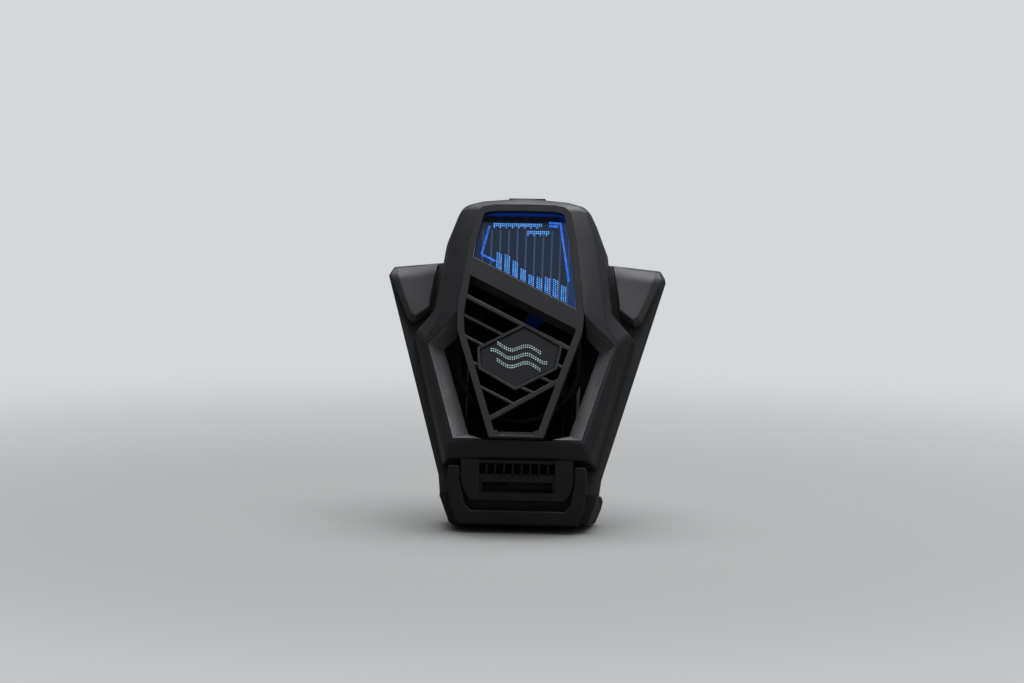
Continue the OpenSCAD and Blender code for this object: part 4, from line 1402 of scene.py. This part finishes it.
@dataclass
class RibbedPad:
    """A rubber grip: a thin base with ribs across it, in the solid's own box."""

    bench: Bench
    node: str
    faces_up: bool
    rib_radius: float = 0.32
    rib_pitch: float = 1.15
    base_round: float = 0.1
    edge: float = 0.9
    hole_half: float = 6.2
    hole_depth: float = 2.9
    has_hole: bool = False

    def dress(self) -> None:
        """Thins a copy of the solid, grows the ribs on it and replaces the solid."""
        low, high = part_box(self.node)
        shape = self.bench.shape(self.node)
        outer = high.z if self.faces_up else low.z
        inner = outer - self.rib_radius * MM * (1 if self.faces_up else -1)
        for vert in shape.verts:
            if abs(vert.co.z - outer) < Bench.MERGE:
                vert.co.z = inner
        self.bench.round(shape, Rounding(self.base_round))
        mesh = self.bench.mesh(f"{self.node}_base", shape)
        body = self.bench.body(self.node)
        self.bench.add(f"base_{self.node}", mesh, Skin.RUBBER, body, [self.node])
        places, reaches = self._ribs(low / MM, high / MM)
        rows = points_mesh((x, y, inner / MM) for x, y in places)
        rows.attributes.new("reach", "FLOAT", "POINT").data.foreach_set("value", reaches)
        self.bench.grow(f"ribs_{self.node}", self.bench.growths.bars, rows, Skin.RUBBER, body,
                        {"Radius": self.rib_radius})

    def _ribs(self, low: Vector, high: Vector) -> tuple[list[Plan], list[float]]:
        """Lays out the ribs, broken where the base has its hole.

        Args:
            low: the base's least corner, in millimetres.
            high: its greatest corner.

        Returns:
            The ribs' middles in millimetres, and their lengths in metres.
        """
        places, reaches = [], []
        rows = int((high.y - low.y - 2 * self.edge) / self.rib_pitch) + 1
        middle = (low.y + high.y) / 2
        for row in range(rows):
            y = middle + (row - (rows - 1) / 2) * self.rib_pitch
            spans = [(low.x + self.edge, high.x - self.edge)]
            if self.has_hole and abs(y - middle) < self.hole_depth:
                spans = [(low.x + self.edge, -self.hole_half), (self.hole_half, high.x - self.edge)]
            for start, end in spans:
                places.append(((start + end) / 2, y))
                reaches.append((end - start) * MM)
        return places, reaches


@dataclass
class Clamp:
    """Sliding upper jaw, its grip and springs, and the release button on top."""

    bench: Bench
    jaw_round: float = 0.6
    tab_round: float = 0.25
    spring_top: float = 37.4
    spring_keep: float = 0.5
    release_floor: float = 40.6
    release_long: float = 2.8
    release_short: float = 1.6

    def dress(self) -> None:
        """Finishes the jaw and the button and stands copies with their own meshes in for the springs."""
        self.bench.soften("upper_jaw", Skin.HOUSING, Rounding(self.jaw_round, steps=4), FINE_EDGE)
        RibbedPad(self.bench, "upper_jaw_pad", faces_up=False).dress()
        self.bench.soften("release_button", Skin.RELEASE, Rounding(self.tab_round))
        for side in ("left", "right"):
            self._spring(f"{side}_clamp_spring")
        self._spring("release_spring")

    def _spring(self, node: str) -> None:
        """Stands a copy with its own mesh in for a spring.

        Args:
            node: the spring.
        """
        mesh = self.bench.mesh(node, self.bench.merged(node))
        coil = self.bench.add(f"coil_{node}", mesh, Skin.SPRING, self.bench.body(node), [node])
        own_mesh(coil)


@dataclass
class LowerJaw:
    """Fixed lower jaw, with the plug, the power socket and their board."""

    bench: Bench
    jaw_round: float = 0.6
    screw_head: float = 1.5
    head_height: float = 1.2
    cross_depth: float = 0.7

    def dress(self) -> None:
        """Finishes the jaw and what it holds."""
        self.bench.soften("lower_jaw", Skin.HOUSING, Rounding(self.jaw_round, steps=4), FINE_EDGE)
        self.bench.soften("jaw_cover", Skin.HOUSING, FINE_EDGE)
        RibbedPad(self.bench, "lower_jaw_pad", faces_up=True, has_hole=True).dress()
        self.bench.paint(Skin.PLUG, "usb_plug", "usb_socket")
        self.bench.paint(Skin.CHIP, "socket_tongue")
        self.bench.paint(Skin.BOARD, "port_board")
        CrossScrews(self.bench, "jaw_screws", Facing.DOWN, self.screw_head, self.head_height,
                    self.cross_depth).dress()


@dataclass
class StandUnit:
    """Fold-out stand, its pins and the vent panel between its arms."""

    bench: Bench
    stand_round: float = 0.6
    vent_round: float = 0.25

    def dress(self) -> None:
        """Finishes the stand and the vent."""
        self.bench.soften("kickstand", Skin.HOUSING, Rounding(self.stand_round, steps=4), FINE_EDGE)
        self.bench.soften("vent_panel", Skin.VENT, Rounding(self.vent_round))
        self.bench.paint(Skin.PIN, "kickstand_pins")


@dataclass
class Fan:
    """Rotor, its motor and the frame around it."""

    bench: Bench

    def dress(self) -> None:
        """Finishes the fan's pieces."""
        self.bench.paint(Skin.FAN, "fan_rotor", "fan_frame")
        self.bench.paint(Skin.PIN, "fan_shaft")
        self.bench.paint(Skin.MAGNET, "rotor_magnet")
        self.bench.paint(Skin.BRONZE, "fan_bearing")
        self.bench.paint(Skin.CORE, "stator_core")
        self.bench.paint(Skin.COPPER, "stator_coils")


@dataclass
class CoolingStack:
    """Heat sink, Peltier module, cold plate and the control board."""

    bench: Bench

    def dress(self) -> None:
        """Finishes the stack from the fins to the pad."""
        self.bench.paint(Skin.FINS, "heatsink")
        self.bench.paint(Skin.SCREW, "heatsink_screws")
        self.bench.paint(Skin.CERAMIC, "peltier_hot_side", "peltier_cold_side")
        self.bench.paint(Skin.PELLET, "peltier_pellets")
        self.bench.soften("cold_plate", Skin.PLATE, FINE_EDGE)
        self.bench.soften("thermal_pad", Skin.GEL, FINE_EDGE)
        self.bench.paint(Skin.BOARD, "control_board")
        self.bench.paint(Skin.CHIP, "board_parts")


@dataclass
class Studio:
    """Camera at the photograph's angle, floor, backdrop and soft light."""

    eye: Triple = (82.079, -1064.112, -248.097)
    right: Triple = (0.99673989, 0.0719376, 0.03653172)
    down: Triple = (0.01860272, 0.2356778, -0.97165319)
    forward: Triple = (-0.07850811, 0.96916508, 0.23357123)
    lens: float = 130.08
    sensor: float = 36.0
    nearest: float = 20.0
    farthest: float = 50000.0
    lean: float = 20.0
    floor_drop: float = 45.5
    floor_reach: float = 420.0
    floor_fade: Plan = (0.22, 0.95)
    backdrop: Colour = (0.66, 0.685, 0.705)
    floor_tone: Colour = (0.29, 0.295, 0.3)
    floor_bounce: Colour = (0.07, 0.07, 0.07)
    key_power: float = 4.6
    key_size: float = 520.0
    key_far: float = 560.0
    key_way: Triple = (0.1, -0.28, 0.95)
    room_level: float = 0.1
    overhead_level: float = 1.2
    overhead_edge: Plan = (0.5, 0.95)
    rear_loss: float = 0.9
    rear_edge: Plan = (-0.15, 0.35)
    side_level: float = 0.65
    side_edge: Plan = (0.86, 0.97)
    side_way: Triple = (0.6, -0.75, 0.28)

    def build(self) -> None:
        """Makes the camera, the floor, the lamp and the world."""
        self._camera()
        self._floor()
        self._key()
        self._world()

    def up(self) -> Vector:
        """The room's upright, from which the object leans back."""
        angle = math.radians(self.lean)
        return Vector((0.0, -math.sin(angle), math.cos(angle)))

    def _camera(self) -> None:
        """The camera, from its place and the ways that its picture runs."""
        data = bpy.data.cameras.new("camera")
        data.lens = self.lens
        data.sensor_width = self.sensor
        data.clip_start = self.nearest * MM
        data.clip_end = self.farthest * MM
        camera = placed("camera", data)
        columns = (Vector(self.right), -Vector(self.down), -Vector(self.forward))
        turn = Matrix(columns).transposed().to_4x4()
        camera.matrix_world = Matrix.Translation(Vector(self.eye) * MM) @ turn
        bpy.context.scene.camera = camera

    def _floor(self) -> None:
        """A pale floor that fades out round the object and keeps its shadow."""
        up = self.up()
        side = Vector((1.0, 0.0, 0.0))
        ahead = up.cross(side)
        middle = up * -self.floor_drop * MM
        reach = self.floor_reach * MM
        corners = [middle + (side * a + ahead * b) * reach for a, b in ((-1, -1), (1, -1), (1, 1), (-1, 1))]
        mesh = bpy.data.meshes.new("floor")
        mesh.from_pydata(corners, [], [(0, 1, 2, 3)])
        floor = placed("floor", mesh)
        material = bpy.data.materials.new("floor_paper")
        material.use_nodes = True
        graph = Graph(material.node_tree)
        far = graph.value("ShaderNodeVectorMath", {"operation": "DISTANCE"},
                          {0: graph.place(), 1: middle}, output="Value")
        fade = far.step(*(share * reach for share in self.floor_fade))
        from_below = graph.value("ShaderNodeNewGeometry", output="Backfacing")
        seen = graph.value("ShaderNodeLightPath", output="Is Camera Ray")
        paper = graph.principled({
            "Base Color": graph.blend(seen, self.floor_bounce, self.floor_tone), "Roughness": 0.9})
        clear = graph.value("ShaderNodeBsdfTransparent")
        mixed = graph.value("ShaderNodeMixShader", inputs={
            0: fade.math("MAXIMUM", from_below * seen), 1: paper, 2: clear})
        graph.node("ShaderNodeOutputMaterial", inputs={"Surface": mixed})
        mesh.materials.append(material)

    def _key(self) -> None:
        """One large soft lamp overhead, a little to the front."""
        data = bpy.data.lights.new("overhead", "AREA")
        data.energy = self.key_power
        data.size = self.key_size * MM
        lamp = placed("overhead", data)
        toward = Vector(self.key_way).normalized()
        lamp.location = toward * self.key_far * MM
        lamp.rotation_mode = "QUATERNION"
        lamp.rotation_quaternion = (-toward).to_track_quat("-Z", "Y")

    def _world(self) -> None:
        """A plain pale backdrop, and a dim room with light above and a patch at the front right."""
        world = bpy.data.worlds.new("studio")
        bpy.context.scene.world = world
        world.use_nodes = True
        graph = Graph(world.node_tree)
        way = graph.value("ShaderNodeTexCoord", output="Generated")
        side = graph.value("ShaderNodeVectorMath", {"operation": "DOT_PRODUCT"},
                           {0: way, 1: self.side_way}, output="Value")
        _, depth, height = graph.axes(way)
        above = self.overhead_level - self.rear_loss * depth.step(*self.rear_edge)
        level = self.room_level + height.step(*self.overhead_edge) * above
        level = level + self.side_level * side.step(*self.side_edge)
        room = graph.value("ShaderNodeBackground", inputs={"Color": (1.0, 1.0, 1.0), "Strength": level})
        plain = graph.value("ShaderNodeBackground", inputs={"Color": self.backdrop, "Strength": 1.0})
        seen, through = (graph.value("ShaderNodeLightPath", output=f"Is {ray} Ray")
                         for ray in ("Camera", "Transmission"))
        mixed = graph.value("ShaderNodeMixShader", inputs={
            0: seen.math("MAXIMUM", through), 1: room, 2: plain})
        graph.node("ShaderNodeOutputWorld", inputs={"Surface": mixed})


def main() -> None:
    """Loads the frame, builds the studio and dresses each sub-assembly."""
    logging.basicConfig(level=logging.INFO, format="%(name)s: %(message)s")
    bpy.ops.object.select_all(action="SELECT")
    bpy.ops.object.delete()
    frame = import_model()
    bpy.context.scene.view_settings.view_transform = "Standard"
    Studio().build()
    bench = Bench(frame)
    for part in (Casing, GrillePanel, Window, SideButtons, Clamp, LowerJaw, StandUnit, Fan, CoolingStack):
        LOG.info("dressing %s", part.__name__)
        part(bench).dress()


if __name__ == "__main__":
    main()
